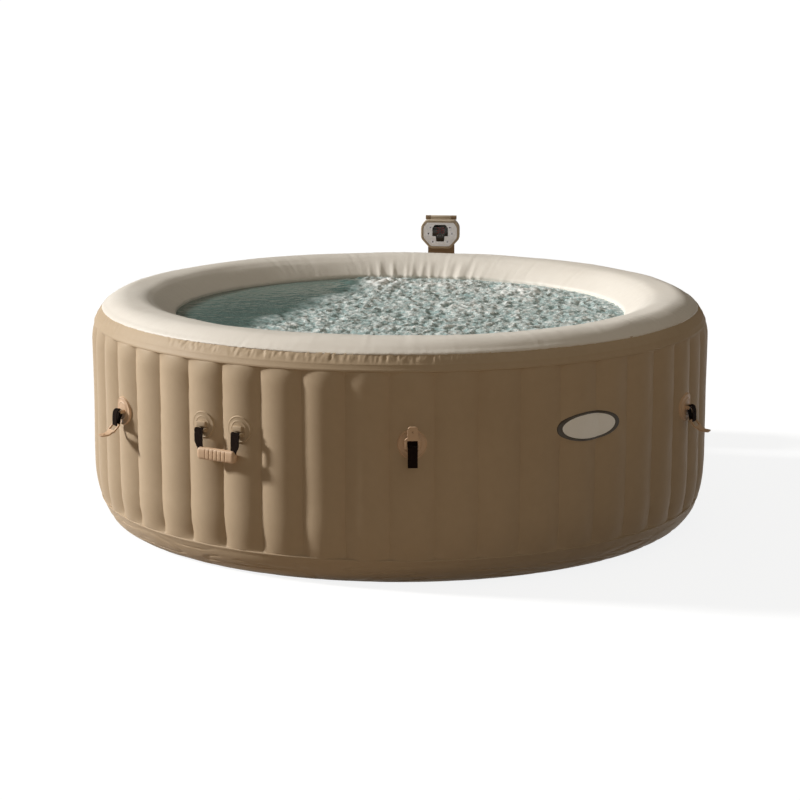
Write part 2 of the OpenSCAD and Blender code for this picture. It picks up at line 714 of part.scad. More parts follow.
module unit_rear_shell() color(taupe) difference() {
  union() {
    unit_shell(true);
    translate([neck_x, neck_y, cavity_z]) cylinder(r = neck_boss_r, h = neck_seat_z - cavity_z);
    y_rod(0, tray_z + 40, unit_y1 - shell_t - 8, unit_y1 + 6, 16);
  }
  translate([neck_x, neck_y, cavity_z - 40]) cylinder(r = neck_r + play, h = 140);
  y_rod(0, tray_z + 40, unit_y1 - 40, unit_y1 + 7, 5);
  for (k = [0:vent_n - 1]) translate([-vent_w / 2, unit_y1 - shell_t - 1, air_z - vent_w / 2 + k * vent_step])
    cube([vent_w, shell_t + 2, vent_h]);
}
module unit_screws() color("silver") screw_places() {
  y_rod(0, 0, screw_seat_y, screw_seat_y + 3, 4.5);
  y_rod(0, 0, unit_yc - 28, screw_seat_y + 1, 2);
}

// Pump: inlet stub, volute and motor on one axis with the inlet port, and its impeller
module pump_housing() color(brown) difference() {
  union() {
    y_rod(-port_x, port_z, stub_y, pump_y + 2, port_d / 2);
    y_rod(-port_x, port_z, pump_y, pump_y + volute_l, volute_r);
    y_rod(-port_x, port_z, pump_y + volute_l - 2, pump_y + volute_l + motor_l, motor_r);
    translate([-port_x, pipe_y0, port_z + volute_r - 14])
      cylinder(r = pipe_r, h = pipe_low_z - port_z - volute_r + 14);
    translate([-port_x - pump_foot_w / 2, pump_y + volute_l + motor_l / 6, tray_floor_z])
      cube([pump_foot_w, motor_l * 2 / 3, port_z - tray_floor_z - motor_r / 2]);
  }
  y_rod(-port_x, port_z, stub_y - 1, pump_y + 10, port_d / 2 - tube_t);
  y_rod(-port_x, port_z, pump_y + 6, pump_y + volute_l - 6, volute_r - 6);
  translate([-port_x, pipe_y0, port_z + volute_r - 14]) cylinder(r = pipe_r - tube_t, h = pipe_low_z);
  y_rod(-port_x, port_z, pump_y + volute_l - 10, pump_y + 2 * volute_l, shaft_r + fit);
}
module pump_impeller() color("dimgray") translate([-port_x, 0, port_z]) {
  y_rod(0, 0, pump_y + volute_l - 14, pump_y + volute_l - 10, volute_r - 12);
  y_rod(0, 0, pump_y + 14, pump_y + volute_l - 12, 2 * shaft_r + 1);
  y_rod(0, 0, pump_y + volute_l - 12, pump_y + 2 * volute_l - 4, shaft_r);
  for (a = [0:60:300]) rotate([0, a, 0]) translate([-1.5, pump_y + 16, 8])
    cube([3, volute_l - 29, volute_r - 22]);
}

// Heater: a steel tube on a saddle, in line with the outlet port, and the pipe from the pump
module heater_tube() color("silver") difference() {
  union() {
    y_rod(port_x, port_z, stub_y, pump_y + 2, port_d / 2);
    y_rod(port_x, port_z, pump_y, unit_y1 - 50, heater_r);
    translate([port_x, pipe_y1, port_z]) cylinder(r = pipe_r, h = pipe_low_z - port_z);
    translate([port_x - 20, unit_yc - 40, tray_floor_z]) cube([40, 30, port_z - tray_floor_z - heater_r + 6]);
  }
  y_rod(port_x, port_z, stub_y - 1, pump_y + 10, port_d / 2 - tube_t);
  y_rod(port_x, port_z, pump_y + 4, unit_y1 - 54, heater_r - 4);
  translate([port_x, pipe_y1, port_z]) cylinder(r = pipe_r - tube_t, h = pipe_low_z);
}
module pipe_piece(l) linear_extrude(l) pipe_ring();
module pipe_elbow() rotate_extrude(angle = 90) translate([pipe_bend, 0]) pipe_ring();
module pipe_ring() difference() {
  circle(pipe_r);
  circle(pipe_r - tube_t);
}
module water_pipe() color("white") {
  top_z = pipe_high_z - pipe_bend;
  for (p = [[-port_x, pipe_y0], [port_x, pipe_y1]]) translate([p[0], p[1], pipe_low_z])
    pipe_piece(top_z - pipe_low_z);
  translate([-port_x, pipe_y0 + pipe_bend, top_z]) rotate([90, 0, -90]) pipe_elbow();
  translate([-port_x, pipe_y0 + pipe_bend, pipe_high_z]) rotate([-90, 0, 0])
    pipe_piece(pipe_y1 - pipe_y0 - 2 * pipe_bend);
  translate([pipe_bend - port_x, pipe_y1 - pipe_bend, pipe_high_z]) rotate(90) pipe_elbow();
  translate([pipe_bend - port_x, pipe_y1, pipe_high_z]) rotate([0, 90, 0])
    pipe_piece(2 * port_x - 2 * pipe_bend);
  translate([port_x - pipe_bend, pipe_y1, top_z]) rotate([90, 0, 0]) pipe_elbow();
}

// Blower on a post, its outlet in line with the air port, and the fan inside
module air_blower() color(brown) difference() {
  union() {
    translate([0, unit_yc, blower_z0]) cylinder(r = blower_r, h = blower_z1 - blower_z0);
    translate([0, unit_yc, blower_z1 - 1]) cylinder(r = blower_r / 2, h = cap_h + 1);
    y_rod(0, air_z, stub_y, unit_yc - blower_r + 14, air_d / 2);
    translate([-20, unit_yc + blower_r + 5, tray_floor_z]) cube([40, 12, blower_z0 - tray_floor_z + 10]);
    translate([-20, unit_yc + blower_r - 12, blower_z0]) cube([40, 20, 10]);
  }
  translate([0, unit_yc, blower_z0 + 5]) cylinder(r = blower_r - 5, h = blower_z1 - blower_z0 - 10);
  translate([0, unit_yc, blower_z0 - 1]) cylinder(r = 30, h = 10);
  translate([0, unit_yc, blower_z1 - 10]) cylinder(r = shaft_r + fit, h = 14 + cap_h / 2);
  y_rod(0, air_z, stub_y - 1, unit_yc - blower_r + 20, air_d / 2 - tube_t);
}
module blower_fan() color("dimgray") translate([0, unit_yc, 0]) {
  translate([0, 0, blower_z1 - 14]) cylinder(r = blower_r - 13, h = 4);
  translate([0, 0, blower_z0 + 14]) cylinder(r = 16, h = blower_z1 - blower_z0 - 26);
  translate([0, 0, blower_z1 - 14]) cylinder(r = shaft_r, h = 14 + cap_h / 2);
  for (a = [0:30:330]) rotate(a) translate([blower_r - 39, -1, blower_z0 + 14])
    cube([24, 2, blower_z1 - blower_z0 - 27]);
}

// Electronics box on the inside of the rear shell, open towards the shell
box_w = 62;
box_h = 110;
box_t = 3;
box_y0 = unit_yc + 8;
box_y1 = unit_y1 - unit_r - 6;
box_z = screw_z[2] - 2 * boss_r - box_h;
module power_box() color("dimgray") translate([unit_w / 2 - shell_t - box_w, box_y0, box_z]) difference() {
  cube([box_w, box_y1 - box_y0, box_h]);
  translate([box_t, box_t, box_t]) cube([box_w, box_y1 - box_y0 - 2 * box_t, box_h - 2 * box_t]);
}

// Neck: a spigot that turns in the rear shell, a flange and a plate that carries the hinge pin
module neck_post() color(brown) {
  translate([neck_x, neck_y, cavity_z - spigot_reach])
    cylinder(r = neck_r, h = neck_seat_z - cavity_z + spigot_reach + 2);
  translate([neck_x, neck_y, neck_seat_z + play]) cylinder(r = neck_boss_r, h = 8);
  translate([neck_x - neck_w / 2, plate_y, neck_seat_z + 4])
    cube([neck_w, plate_t, hinge_z - knuckle_r - 10 - neck_seat_z - 4]);
  for (s = [-1, 1]) {
    translate([neck_x + s * (knuckle_in + neck_w / 2) / 2, plate_y + plate_t / 2, hinge_z - 14])
      cube([neck_w / 2 - knuckle_in, plate_t, 28], center = true);
    translate([neck_x + s * (knuckle_in + knuckle_out) / 2, hinge_y, hinge_z])
      x_rod(knuckle_out - knuckle_in, knuckle_r);
  }
  translate([neck_x, hinge_y, hinge_z]) x_rod(2 * knuckle_in + 4, pin_r);
}

// Head: a case with its knuckle, a bezel, a key panel, a display window and a board
// Its outline has cut corners, small above and long below, as shares of half the width and half the height
function head_outline(a, b) = let (
    top_x = a * (1 - top_cut[0]), top_z = b * (1 - top_cut[1]),
    low_x = a * (1 - low_cut[0]), low_z = b * (1 - low_cut[1]))
  [[a, top_z], [top_x, b], [-top_x, b], [-a, top_z], [-a, -low_z], [-low_x, -b], [low_x, -b], [a, -low_z]];
module head_slab(w, h, y0, y1) translate([neck_x, y1, head_mid_z]) rotate([90, 0, 0])
  linear_extrude(y1 - y0) polygon(head_outline(w / 2, h / 2));
module head_case() color(brown) difference() {
  union() {
    difference() {
      head_slab(head_w, head_h, head_front_y + bezel_t, head_back_y);
      head_slab(head_w - 2 * case_t, head_h - 2 * case_t, head_front_y, head_back_y - case_t);
    }
    translate([neck_x, hinge_y, hinge_z]) x_rod(2 * knuckle_in - 1, knuckle_r);
    translate([neck_x - knuckle_in + 0.5, head_back_y - 10, head_top_z - 4])
      cube([2 * knuckle_in - 1, 11, 8]);
    for (sx = [-1, 1], sz = [-1, 1])
      y_rod(neck_x + sx * post_x, head_mid_z + sz * post_z, board_y + board_t, head_back_y - 1, 4);
  }
  translate([neck_x, hinge_y, hinge_z]) x_rod(4 * knuckle_in, pin_r + fit);
}
module head_bezel() color(tan) difference() {
  head_slab(head_w, head_h, head_front_y, head_front_y + bezel_t);
  head_slab(face_w, face_h, head_front_y - 1, head_front_y + bezel_t + 1);
}
module display_plan(grow) {
  intersection() {
    translate([0, 2]) circle(35 + grow);
    translate([-28 - grow, -4 - grow]) square([56 + 2 * grow, 60]);
  }
  translate([-17 - grow, -22 - grow]) square([34 + 2 * grow, 26]);
}
module face_layer(y0, y1) translate([neck_x, y1, head_mid_z]) rotate([90, 0, 0])
  linear_extrude(y1 - y0) children();
face_y = head_front_y + 2;
module face_panel() color(grey) difference() {
  head_slab(face_w - 2 * fit, face_h - 2 * fit, face_y, face_y + face_t);
  face_layer(face_y - 1, face_y + face_t + 1) display_plan(fit);
  for (p = key_places) translate([neck_x + p[0], 0, head_mid_z + p[1]])
    y_rod(0, 0, face_y - 1, face_y + face_t + 1, key_d / 2 + play);
}
module display_window() color("black") face_layer(face_y + 0.4, face_y + face_t) display_plan(0);
module head_board() color("darkgreen")
  translate([neck_x - board_w / 2, board_y, head_mid_z - board_h / 2]) cube([board_w, board_t, board_h]);
module key(k) color(grey) translate([neck_x + key_places[k][0], 0, head_mid_z + key_places[k][1]]) {
  y_rod(0, 0, face_y - key_travel - 0.3, face_y + face_t + play + 1.5, key_d / 2);
  y_rod(0, 0, face_y + face_t + play, face_y + face_t + play + 1.5, key_d / 2 + 1.2);
}
module key_top_left() key(0);
module key_top_right() key(1);
module key_mid_left() key(2);
module key_mid_right() key(3);
module key_low_left() key(4);
module key_low_right() key(5);

outer_wall();
inner_wall();
rim_panel();
cuff_band();
base_band();
tub_floor();
wall_webs();
bubble_channel();
handle_patches();
latch_patches();
latch_straps();
badge_plate();
valve_body();
valve_plunger();
valve_spring();
valve_cap();
drain_body();
drain_cap();
wall_fittings();
fitting_gaskets();
strainer_grid();
filter_housing();
filter_cartridge();
union_nut_inlet();
union_nut_outlet();
union_nut_air();
front_handle_straps();
front_handle_grip();
rear_handle_straps();
rear_handle_grip();
latch_tongue_front();
latch_tongue_right();
latch_tongue_left();
latch_tongue_back_right();
latch_tongue_back_left();
unit_tray();
unit_front_shell();
unit_rear_shell();
unit_feet();
unit_screws();
pump_housing();
pump_impeller();
heater_tube();
water_pipe();
air_blower();
blower_fan();
power_box();
neck_post();
head_case();
head_bezel();
face_panel();
display_window();
head_board();
key_top_left();
key_top_right();
key_mid_left();
key_mid_right();
key_low_left();
key_low_right();
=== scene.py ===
import math

import bmesh
import bpy
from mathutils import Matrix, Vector, noise


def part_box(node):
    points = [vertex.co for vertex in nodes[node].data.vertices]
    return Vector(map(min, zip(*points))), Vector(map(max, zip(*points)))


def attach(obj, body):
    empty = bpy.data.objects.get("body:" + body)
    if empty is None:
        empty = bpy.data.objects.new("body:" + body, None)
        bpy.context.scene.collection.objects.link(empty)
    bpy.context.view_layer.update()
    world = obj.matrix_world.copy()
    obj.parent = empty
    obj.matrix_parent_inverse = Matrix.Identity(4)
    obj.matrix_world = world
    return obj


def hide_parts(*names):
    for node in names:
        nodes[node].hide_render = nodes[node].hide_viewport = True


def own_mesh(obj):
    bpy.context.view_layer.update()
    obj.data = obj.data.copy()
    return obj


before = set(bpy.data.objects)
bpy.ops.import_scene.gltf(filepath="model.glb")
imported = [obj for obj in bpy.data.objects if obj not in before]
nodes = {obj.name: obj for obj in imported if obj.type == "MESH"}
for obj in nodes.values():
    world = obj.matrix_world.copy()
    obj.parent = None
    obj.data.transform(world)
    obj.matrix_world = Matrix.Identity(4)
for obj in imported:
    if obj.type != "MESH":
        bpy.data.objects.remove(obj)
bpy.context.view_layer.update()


# Tub floor
# A thick PVC sheet closes the bottom of the tub. It is welded to the base band all round,
# and the water presses it flat on the ground.
class Wire:
    """An output in a material. Arithmetic on it adds Math nodes, and node() adds any other."""

    def __init__(self, tree, socket):
        self.tree = tree
        self.socket = socket

    def node(self, kind, settings, sockets, output=0):
        made = self.tree.nodes.new("ShaderNode" + kind)
        for name, value in settings.items():
            if name == "stops":
                for stop, (place, colour) in zip(made.color_ramp.elements, value):
                    stop.position = place
                    stop.color = colour
            else:
                setattr(made, name, value)
        for name, value in sockets.items():
            if isinstance(value, Wire):
                self.tree.links.new(value.socket, made.inputs[name])
            else:
                made.inputs[name].default_value = value
        return Wire(self.tree, made.outputs[output])

    def math(self, operation, first, second=0.0):
        return self.node("Math", {"operation": operation}, {0: first, 1: second})

    def __add__(self, other):
        return self.math("ADD", self, other)

    def __sub__(self, other):
        return self.math("SUBTRACT", self, other)

    def __rsub__(self, other):
        return self.math("SUBTRACT", other, self)

    def __mul__(self, other):
        return self.math("MULTIPLY", self, other)

    __radd__ = __add__
    __rmul__ = __mul__

    def clouds(self, scale, detail=2.0):
        return self.node("TexNoise", {}, {"Vector": self, "Scale": scale, "Detail": detail})

    def ramp(self, low, high):
        settings = {"stops": [(low, (0, 0, 0, 1)), (high, (1, 1, 1, 1))]}
        return self.node("ValToRGB", settings, {0: self})

    def tint(self, dark, light):
        return self.node("Mix", {"data_type": "RGBA"}, {0: self, 6: dark, 7: light}, 2)

    def into(self, surface, name):
        self.tree.links.new(self.socket, surface.inputs[name])

    def bump(self, surface, height):
        relief = self.node("Bump", {}, {"Strength": 1.0, "Distance": height, "Height": self})
        relief.into(surface, "Normal")


def colour(red, green, blue):
    return tuple(((part / 255 + 0.055) / 1.055) ** 2.4 for part in (red, green, blue)) + (1.0,)


def new_finish(name, coordinates="Object", **plain):
    made = bpy.data.materials.new(name)
    made.use_nodes = True
    tree = made.node_tree
    surface = tree.nodes["Principled BSDF"]
    for socket, value in plain.items():
        surface.inputs[socket.replace("_", " ")].default_value = value
    place = tree.nodes.new("ShaderNodeTexCoord").outputs[coordinates]
    return made, surface, Wire(tree, place)


def grained(name, dark, light, gloss, grain=420.0, depth=0.00035, **plain):
    """Sheet or moulded plastic: slow changes of tone, a fine pressed grain and a satin gloss."""
    made, surface, place = new_finish(name, **{"Specular_IOR_Level": 0.4, **plain})
    tone = place.clouds(2.6, 4.0) * 0.7 + place.clouds(38.0, 3.0) * 0.3
    tone.ramp(0.25, 0.75).tint(dark, light).into(surface, "Base Color")
    (gloss + place.clouds(16.0, 3.0) * 0.16).into(surface, "Roughness")
    (place.clouds(grain, 2.0) * 0.6 + place.clouds(3 * grain) * 0.4).bump(surface, depth)
    return made


def ring(columns, rows, place):
    """A closed band: place(turn, along) is the point at an angle and at a share of the profile."""
    band = bmesh.new()
    bmesh.ops.create_grid(band, x_segments=columns, y_segments=rows, size=0.5)
    for vert in band.verts:
        vert.co = place((vert.co.x + 0.5) * math.tau, vert.co.y + 0.5)
    bmesh.ops.remove_doubles(band, verts=band.verts, dist=1e-6)
    return band


def disc(count, place):
    """A round sheet: place(x, y) is the point for a place in the unit circle."""
    sheet = bmesh.new()
    bmesh.ops.create_grid(sheet, x_segments=count, y_segments=count, size=1.0)
    for vert in sheet.verts:
        x, y = vert.co.x, vert.co.y
        vert.co = place(x * math.sqrt(1 - y * y / 2), y * math.sqrt(1 - x * x / 2))
    return sheet


sharp_angle = math.radians(50)


def piece(name, shape, finish, body, stands_for=(), thick=0.0, soft=0.0):
    """Makes the finished object: smooth, with its materials, riding on its body."""
    data = bpy.data.meshes.new(name)
    for face in shape.faces:
        face.smooth = True
    shape.to_mesh(data)
    shape.free()
    data.set_sharp_from_angle(angle=sharp_angle)
    made = bpy.data.objects.new(name, data)
    bpy.context.scene.collection.objects.link(made)
    for one in finish if isinstance(finish, (list, tuple)) else [finish]:
        data.materials.append(one)
    if thick:
        wall = made.modifiers.new("wall", "SOLIDIFY")
        wall.thickness = thick
        wall.offset = -1.0
    if soft:
        edge = made.modifiers.new("edge", "BEVEL")
        edge.width = soft
        edge.segments = 3
        edge.limit_method = "ANGLE"
    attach(made, body)
    if stands_for:
        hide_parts(*stands_for)
    return made


def ripple(point, size, seed=0.0):
    """Smooth noise from -1 to 1 with waves of a size. The seed picks another part of it."""
    return noise.noise(Vector(point) / size + Vector((seed, 1.7 * seed, 0.3 * seed)))


def around(turn, radius, z):
    """A point round the axis of the tub, from the front towards the right."""
    return Vector((radius * math.sin(turn), -radius * math.cos(turn), z))


def eased(share):
    """A soft step from 0 to 1."""
    share = min(1.0, max(0.0, share))
    return share * share * (3 - 2 * share)


taupe = grained("taupe_pvc", colour(187, 166, 139), colour(200, 179, 152), 0.48, Specular_IOR_Level=0.2)
cream = grained("cream_pvc", colour(238, 231, 221), colour(246, 241, 233), 0.42)
floor_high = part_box("tub_floor")[1]
floor_r = floor_high.x
floor_clear = 0.002
dent_d = 0.0015
dent_l = 0.12


def floor_point(x, y):
    rise = dent_d * ripple((x, y, 0.0), dent_l)
    return Vector((floor_r * x, floor_r * y, floor_high.z + min(0.0, rise)))


floor_sheet = disc(72, floor_point)
piece("tub_floor_sheet", floor_sheet, taupe, "tub", ["tub_floor"], floor_high.z - floor_clear)


# Outer wall
# The outer skin is one sheet, welded to upright webs inside the wall. Air pressure swells it
# between the webs into flutes, which end bluntly at a weld above and below.
wall_low, wall_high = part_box("outer_wall")
crest_r = wall_high.x
flute_count = 48
flute_pitch = math.tau / flute_count
flute_depth = 0.015
sheet_t = 0.003
foot_w = 0.09
foot_h = 0.19
shoulder_w = 0.114
shoulder_h = 0.13
weld_depth = 0.0006
valley_taper = 0.04
weld_round = 0.007
weld_tuck = 0.004
valley_wander = 0.03
crease_d = 0.0012
crease_l = 0.018
swell_d = 0.0016
swell_l = 0.16
pucker_d = 0.0014
pucker_l = 0.02
pucker_count = 46
web_clear = 0.002
web_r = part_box("wall_webs")[1].x
rim_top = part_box("rim_panel")[1].z
flute_columns = 14
badge_low, badge_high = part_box("badge_plate")
badge_turn = 5.25 * flute_pitch
badge_z = (badge_low.z + badge_high.z) / 2
badge_w = 0.228
badge_h = badge_high.z - badge_low.z
badge_hold = 0.85
badge_ease = 1.6


def envelope(z):
    """Radius of the smooth wall at a height: a round foot, an upright wall and a round shoulder."""
    if z < foot_h:
        return crest_r - foot_w + foot_w * math.sqrt(1 - ((foot_h - z) / foot_h) ** 2)
    lift = max(0.0, z - rim_top + shoulder_h) / shoulder_h
    return crest_r - shoulder_w + shoulder_w * math.sqrt(max(0.0, 1 - lift * lift))


def quarter_round(share):
    """A step from 0 to 1 that rises like a quarter of a circle."""
    share = min(1.0, max(0.0, share))
    return math.sqrt(1 - (1 - share) ** 2)


def badge_reach(turn, z):
    """How far a place on the wall is from the middle of the badge: 1 at the badge's edge."""
    return math.hypot((turn - badge_turn) * crest_r / (badge_w / 2), (z - badge_z) / (badge_h / 2))


def wall_radius(turn, z):
    """Radius of the outer skin: flutes that swell between the valleys and pucker at the welds."""
    run = around(turn, 1.0, 0.0)
    wander = valley_wander * ripple(around(turn, 1.0, 2.0 * z), 0.13, 4.0)
    share = turn / flute_pitch
    across = 2 * (share - round(share))
    edge = max(0.0, abs(across) + wander * (1 - abs(across)))
    held = 1 - badge_hold * eased(badge_ease - badge_reach(turn, z))
    to_weld = max(0.0, min(wall_high.z - z, z - wall_low.z))
    drop = flute_depth * held * edge**2 * quarter_round(to_weld / valley_taper)
    crease = crease_d * abs(across) ** 5 * ripple((9 * round(share + 0.5), 0.0, z), crease_l, 2.0)
    swell = swell_d * ripple(around(turn, 1.0, z), swell_l)
    pucker = pucker_d * noise.noise(pucker_count * run) * math.exp(-to_weld / pucker_l)
    bulge = quarter_round((wall_high.z - z) / weld_round) * quarter_round((z - wall_low.z) / weld_round)
    radius = envelope(z) - weld_depth * (1 - bulge) + (crease + swell + pucker) * bulge - drop
    return max(radius, min(web_r + web_clear, envelope(z) - weld_depth))


def wall_point(turn, along):
    """A point of the outer skin, with the mesh closer in the valleys and at the welds."""
    share = turn / flute_pitch
    flute = round(share)
    across = math.sin(math.pi * (share - flute))
    bent = (flute + across / 2) * flute_pitch
    ends = 0.6 * math.sin(math.tau * along) / math.tau
    z = wall_low.z - weld_tuck + (wall_high.z - wall_low.z + 2 * weld_tuck) * (along - ends)
    return around(bent, wall_radius(bent, z), z)


wall = ring(flute_count * flute_columns, 60, wall_point)
piece("outer_wall_skin", wall, taupe, "tub", ["outer_wall"], sheet_t)


# Base band
# Below the flutes, a plain band of the same sheet turns under the tub. A raised weld bead
# runs along its top edge, and it creases where it takes up the weight of the water.
base_low, base_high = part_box("base_band")
base_lap = 0.003
bead_h = 0.004
bead_d = 0.0022
bead_sunk = 0.001
weld_zone = 0.03
weld_draw = 0.0012
fold_d = 0.0035
fold_w = 0.12
slack_d = 0.003


def base_point(turn, along):
    """A point of the band, from the ground up to the weld under the flutes."""
    z = base_low.z + (base_high.z + base_lap - base_low.z) * along**1.6
    run = around(turn, 1.0, 0.0)
    near_weld = eased((z - base_high.z + weld_zone) / weld_zone)
    bead = bead_d * math.exp(-(((z - base_high.z + bead_sunk) / bead_h) ** 2))
    fold = abs(ripple((3.2 * run.x, 3.2 * run.y, 26 * z), 0.55, 7.0))
    creases = fold_d * (max(0.0, fold_w - fold) / fold_w) * (1 - near_weld) * eased(along / 0.2)
    slack = slack_d * ripple((run.x, run.y, 2 * z), 0.2, 3.0) * (1 - near_weld) * eased(along / 0.3)
    return around(turn, envelope(z) - weld_draw * near_weld + bead - creases + slack, z)


def under_point(turn, along):
    """A point of the lip that the band turns under the tub, from the floor sheet outwards."""
    return around(turn, floor_r + (envelope(0.0) - floor_r) * along, base_low.z)


def add(shape, part, place=None, finish=0):
    """Joins a part to a shape, with its points moved by place()."""
    if place:
        for vert in part.verts:
            vert.co = place(vert.co)
    part.normal_update()
    if all(edge.is_manifold for edge in part.edges):
        bmesh.ops.recalc_face_normals(part, faces=part.faces)
    for face in part.faces:
        face.material_index = finish
    data = bpy.data.meshes.new("part")
    part.to_mesh(data)
    part.free()
    shape.from_mesh(data)
    bpy.data.meshes.remove(data)


base = ring(720, 36, base_point)
add(base, ring(720, 2, under_point))
bmesh.ops.remove_doubles(base, verts=base.verts, dist=1e-5)
piece("base_band_skin", base, taupe, "tub", ["base_band"], sheet_t)


# Cuff band
# A strip of taupe sheet joins the fluted wall to the rim. It is gathered into short pleats
# where it is welded under the rim, and two weld lines run along its lower edge.
cuff_low, cuff_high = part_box("cuff_band")
cuff_tuck = 0.002
cuff_over = 0.005
cuff_lift = 0.0015
cuff_hem = 0.0035
pleat_d = 0.0022
crimp_d = 0.0012
seam_d = 0.0009
seam_w = 0.045
seams = (0.14, 0.44)


def cuff_point(turn, along):
    """A point of the cuff, from its lower hem up to the gathers under the rim."""
    z = cuff_low.z - cuff_tuck + (cuff_high.z + cuff_over - cuff_low.z) * along
    run = around(turn, 1.0, 0.0)
    pleat = noise.noise(Vector((80 * run.x, 80 * run.y, 2.0 * along)))
    crimp = noise.noise(Vector((170 * run.x, 170 * run.y, 3.0 * along)))
    slack = 0.25 + 1.1 * eased(0.6 + 1.3 * ripple((run.x, run.y, 0.0), 0.3, 6.0))
    folds = pleat_d * (pleat - 0.5 * abs(pleat)) + crimp_d * crimp
    gather = slack * folds * eased((along - 0.38) / 0.4)
    welds = sum(seam_d * math.exp(-(((along - seam) / seam_w) ** 2)) for seam in seams)
    hem = cuff_hem * (1 - quarter_round(along / 0.08))
    return around(turn, envelope(z) + cuff_lift - hem + gather + welds, z)


cuff = ring(1800, 24, cuff_point)
piece("cuff_band_skin", cuff, taupe, "tub", ["cuff_band"], sheet_t)


# Rim
# The rim is a soft cream panel over the top of the wall, from a lapped weld on the cuff to the
# liner. It is pulled into puckers where it meets the liner, most of all next to the ports.
rim_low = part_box("rim_panel")[0]
liner_inset = 0.006
rim_inset = 0.009
bore_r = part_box("inner_wall")[1].x - liner_inset
top_r = crest_r - shoulder_w
shoulder_z = rim_top - shoulder_h
edge_angle = math.asin((cuff_high.z - shoulder_z) / shoulder_h)
rim_fold = 0.4
rim_hem = 0.93
inner_r = bore_r - rim_inset
hem_drop = 0.016
brow = 0.46
brow_soft = 0.08
brow_drop = 0.006
lap_d = 0.0018
rim_pleat_d = 0.009
streak_d = 0.0016
rim_slack_d = 0.0025
wave_out = 0.0008
wave_up = 0.0015


def rim_profile(along):
    """Radius and height on the rim, from its outer edge over the top and down past the liner's edge."""
    if along < rim_fold:
        angle = edge_angle + (math.pi / 2 - edge_angle) * along / rim_fold
        return top_r + shoulder_w * math.cos(angle), shoulder_z + shoulder_h * math.sin(angle)
    if along > rim_hem:
        return inner_r, rim_low.z - hem_drop * (along - rim_hem) / (1 - rim_hem)
    inward = (along - rim_fold) / (rim_hem - rim_fold)
    slope = brow_soft * math.log(1 + math.exp((inward - brow) / brow_soft)) / (1 - brow)
    drop = brow_drop * min(1.0, inward / brow) ** 2 + (rim_top - rim_low.z - brow_drop) * min(1.0, slope)
    return top_r - (top_r - inner_r) * inward, rim_top - drop


def rim_point(turn, along):
    """A point of the rim: its lapped edge, streaks on the top, and puckers towards the liner."""
    radius, z = rim_profile(along)
    run = around(turn, 1.0, 0.0)
    lap = lap_d * eased((0.08 - along) / 0.05)
    back = 0.16 + 0.84 * eased((math.cos(turn - math.pi) - 0.93) / 0.06)
    pull = eased((along - 0.62) / 0.3)
    pucker = noise.noise(Vector((34 * run.x, 34 * run.y, 1.5 * along)))
    pleat = rim_pleat_d * back * pull * (pucker - 0.7 * abs(pucker))
    draw = max(0.0, 0.25 + ripple((7 * run.x, 7 * run.y, 0.9 * along), 0.5, 5.0))
    streak = noise.noise(Vector((52 * run.x, 52 * run.y, 1.4 * along)))
    fine = streak_d * streak * draw * eased(along / 0.1)
    slack = rim_slack_d * ripple((run.x, run.y, along), 0.22, 9.0)
    wave = noise.noise(Vector((80 * run.x, 80 * run.y, 0.0))) * eased((0.16 - along) / 0.16)
    out = radius + lap + pleat + wave_out * wave
    return around(turn, out, z + 0.6 * lap + fine + slack - wave_up * wave)


rim = ring(1000, 48, rim_point)
piece("rim_skin", rim, cream, "tub", ["rim_panel"], sheet_t)


# Liner
# The inner wall is a cream sheet from the rim to the floor, held by the same webs as the outer
# skin, so it is faintly quilted. Most of it lies under water.
liner_low, liner_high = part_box("inner_wall")
liner_gap = 0.001
quilt_d = 0.004


def liner_point(turn, along):
    """A point of the liner, from the rim down to the floor."""
    z = liner_high.z - (liner_high.z - liner_low.z) * along
    share = turn / flute_pitch
    across = 2 * (share - round(share))
    return around(turn, bore_r + liner_gap + quilt_d * across * across * eased(along / 0.1), z)


liner = ring(768, 24, liner_point)
piece("liner_skin", liner, cream, "tub", ["inner_wall"], sheet_t)


# Webs and bubble channel
# Upright webs between the two walls hold the flutes, and a perforated channel at the foot of the
# liner lets the air into the water. Both are of the liner's sheet.
def dress(finish, *names):
    """Gives solids that are shown as they are their material."""
    for name in names:
        nodes[name].data.materials.clear()
        nodes[name].data.materials.append(finish)


dress(cream, "wall_webs", "bubble_channel")


# Badge
# An oval patch is welded over three flutes at the front right, and it holds the sheet under it
# nearly flat. It has a dark raised border and a bare cream face.
border = grained("badge_border", colour(66, 58, 47), colour(80, 71, 58), 0.45)
badge_face = grained("badge_face", colour(240, 235, 222), colour(249, 245, 235), 0.3, Coat_Weight=1.0)
border_share = 0.83
border_d = 0.0008
badge_t = 0.0028
patch_sunk = 0.001


def on_wall(turn, x, z, lift):
    """A point on the wall sideways from an angle, lifted off the sheet."""
    angle = turn + x / crest_r
    return around(angle, wall_radius(angle, z) + lift, z)


def badge_point(turn, along):
    """A point of the badge: round it by a turn, and out from its middle."""
    raised = border_d * eased((along - border_share) / 0.02)
    lift = (badge_t + raised) * quarter_round((1 - along) / 0.03) - patch_sunk
    x = 0.5 * badge_w * along * math.sin(turn)
    return on_wall(badge_turn, x, badge_z + 0.5 * badge_h * along * math.cos(turn), lift)


badge = ring(120, 48, badge_point)
for face in badge.faces:
    middle = face.calc_center_median()
    face.material_index = int(badge_reach(math.atan2(middle.x, -middle.y), middle.z) > border_share)
piece("badge_patch", badge, [badge_face, border], "tub", ["badge_plate"])


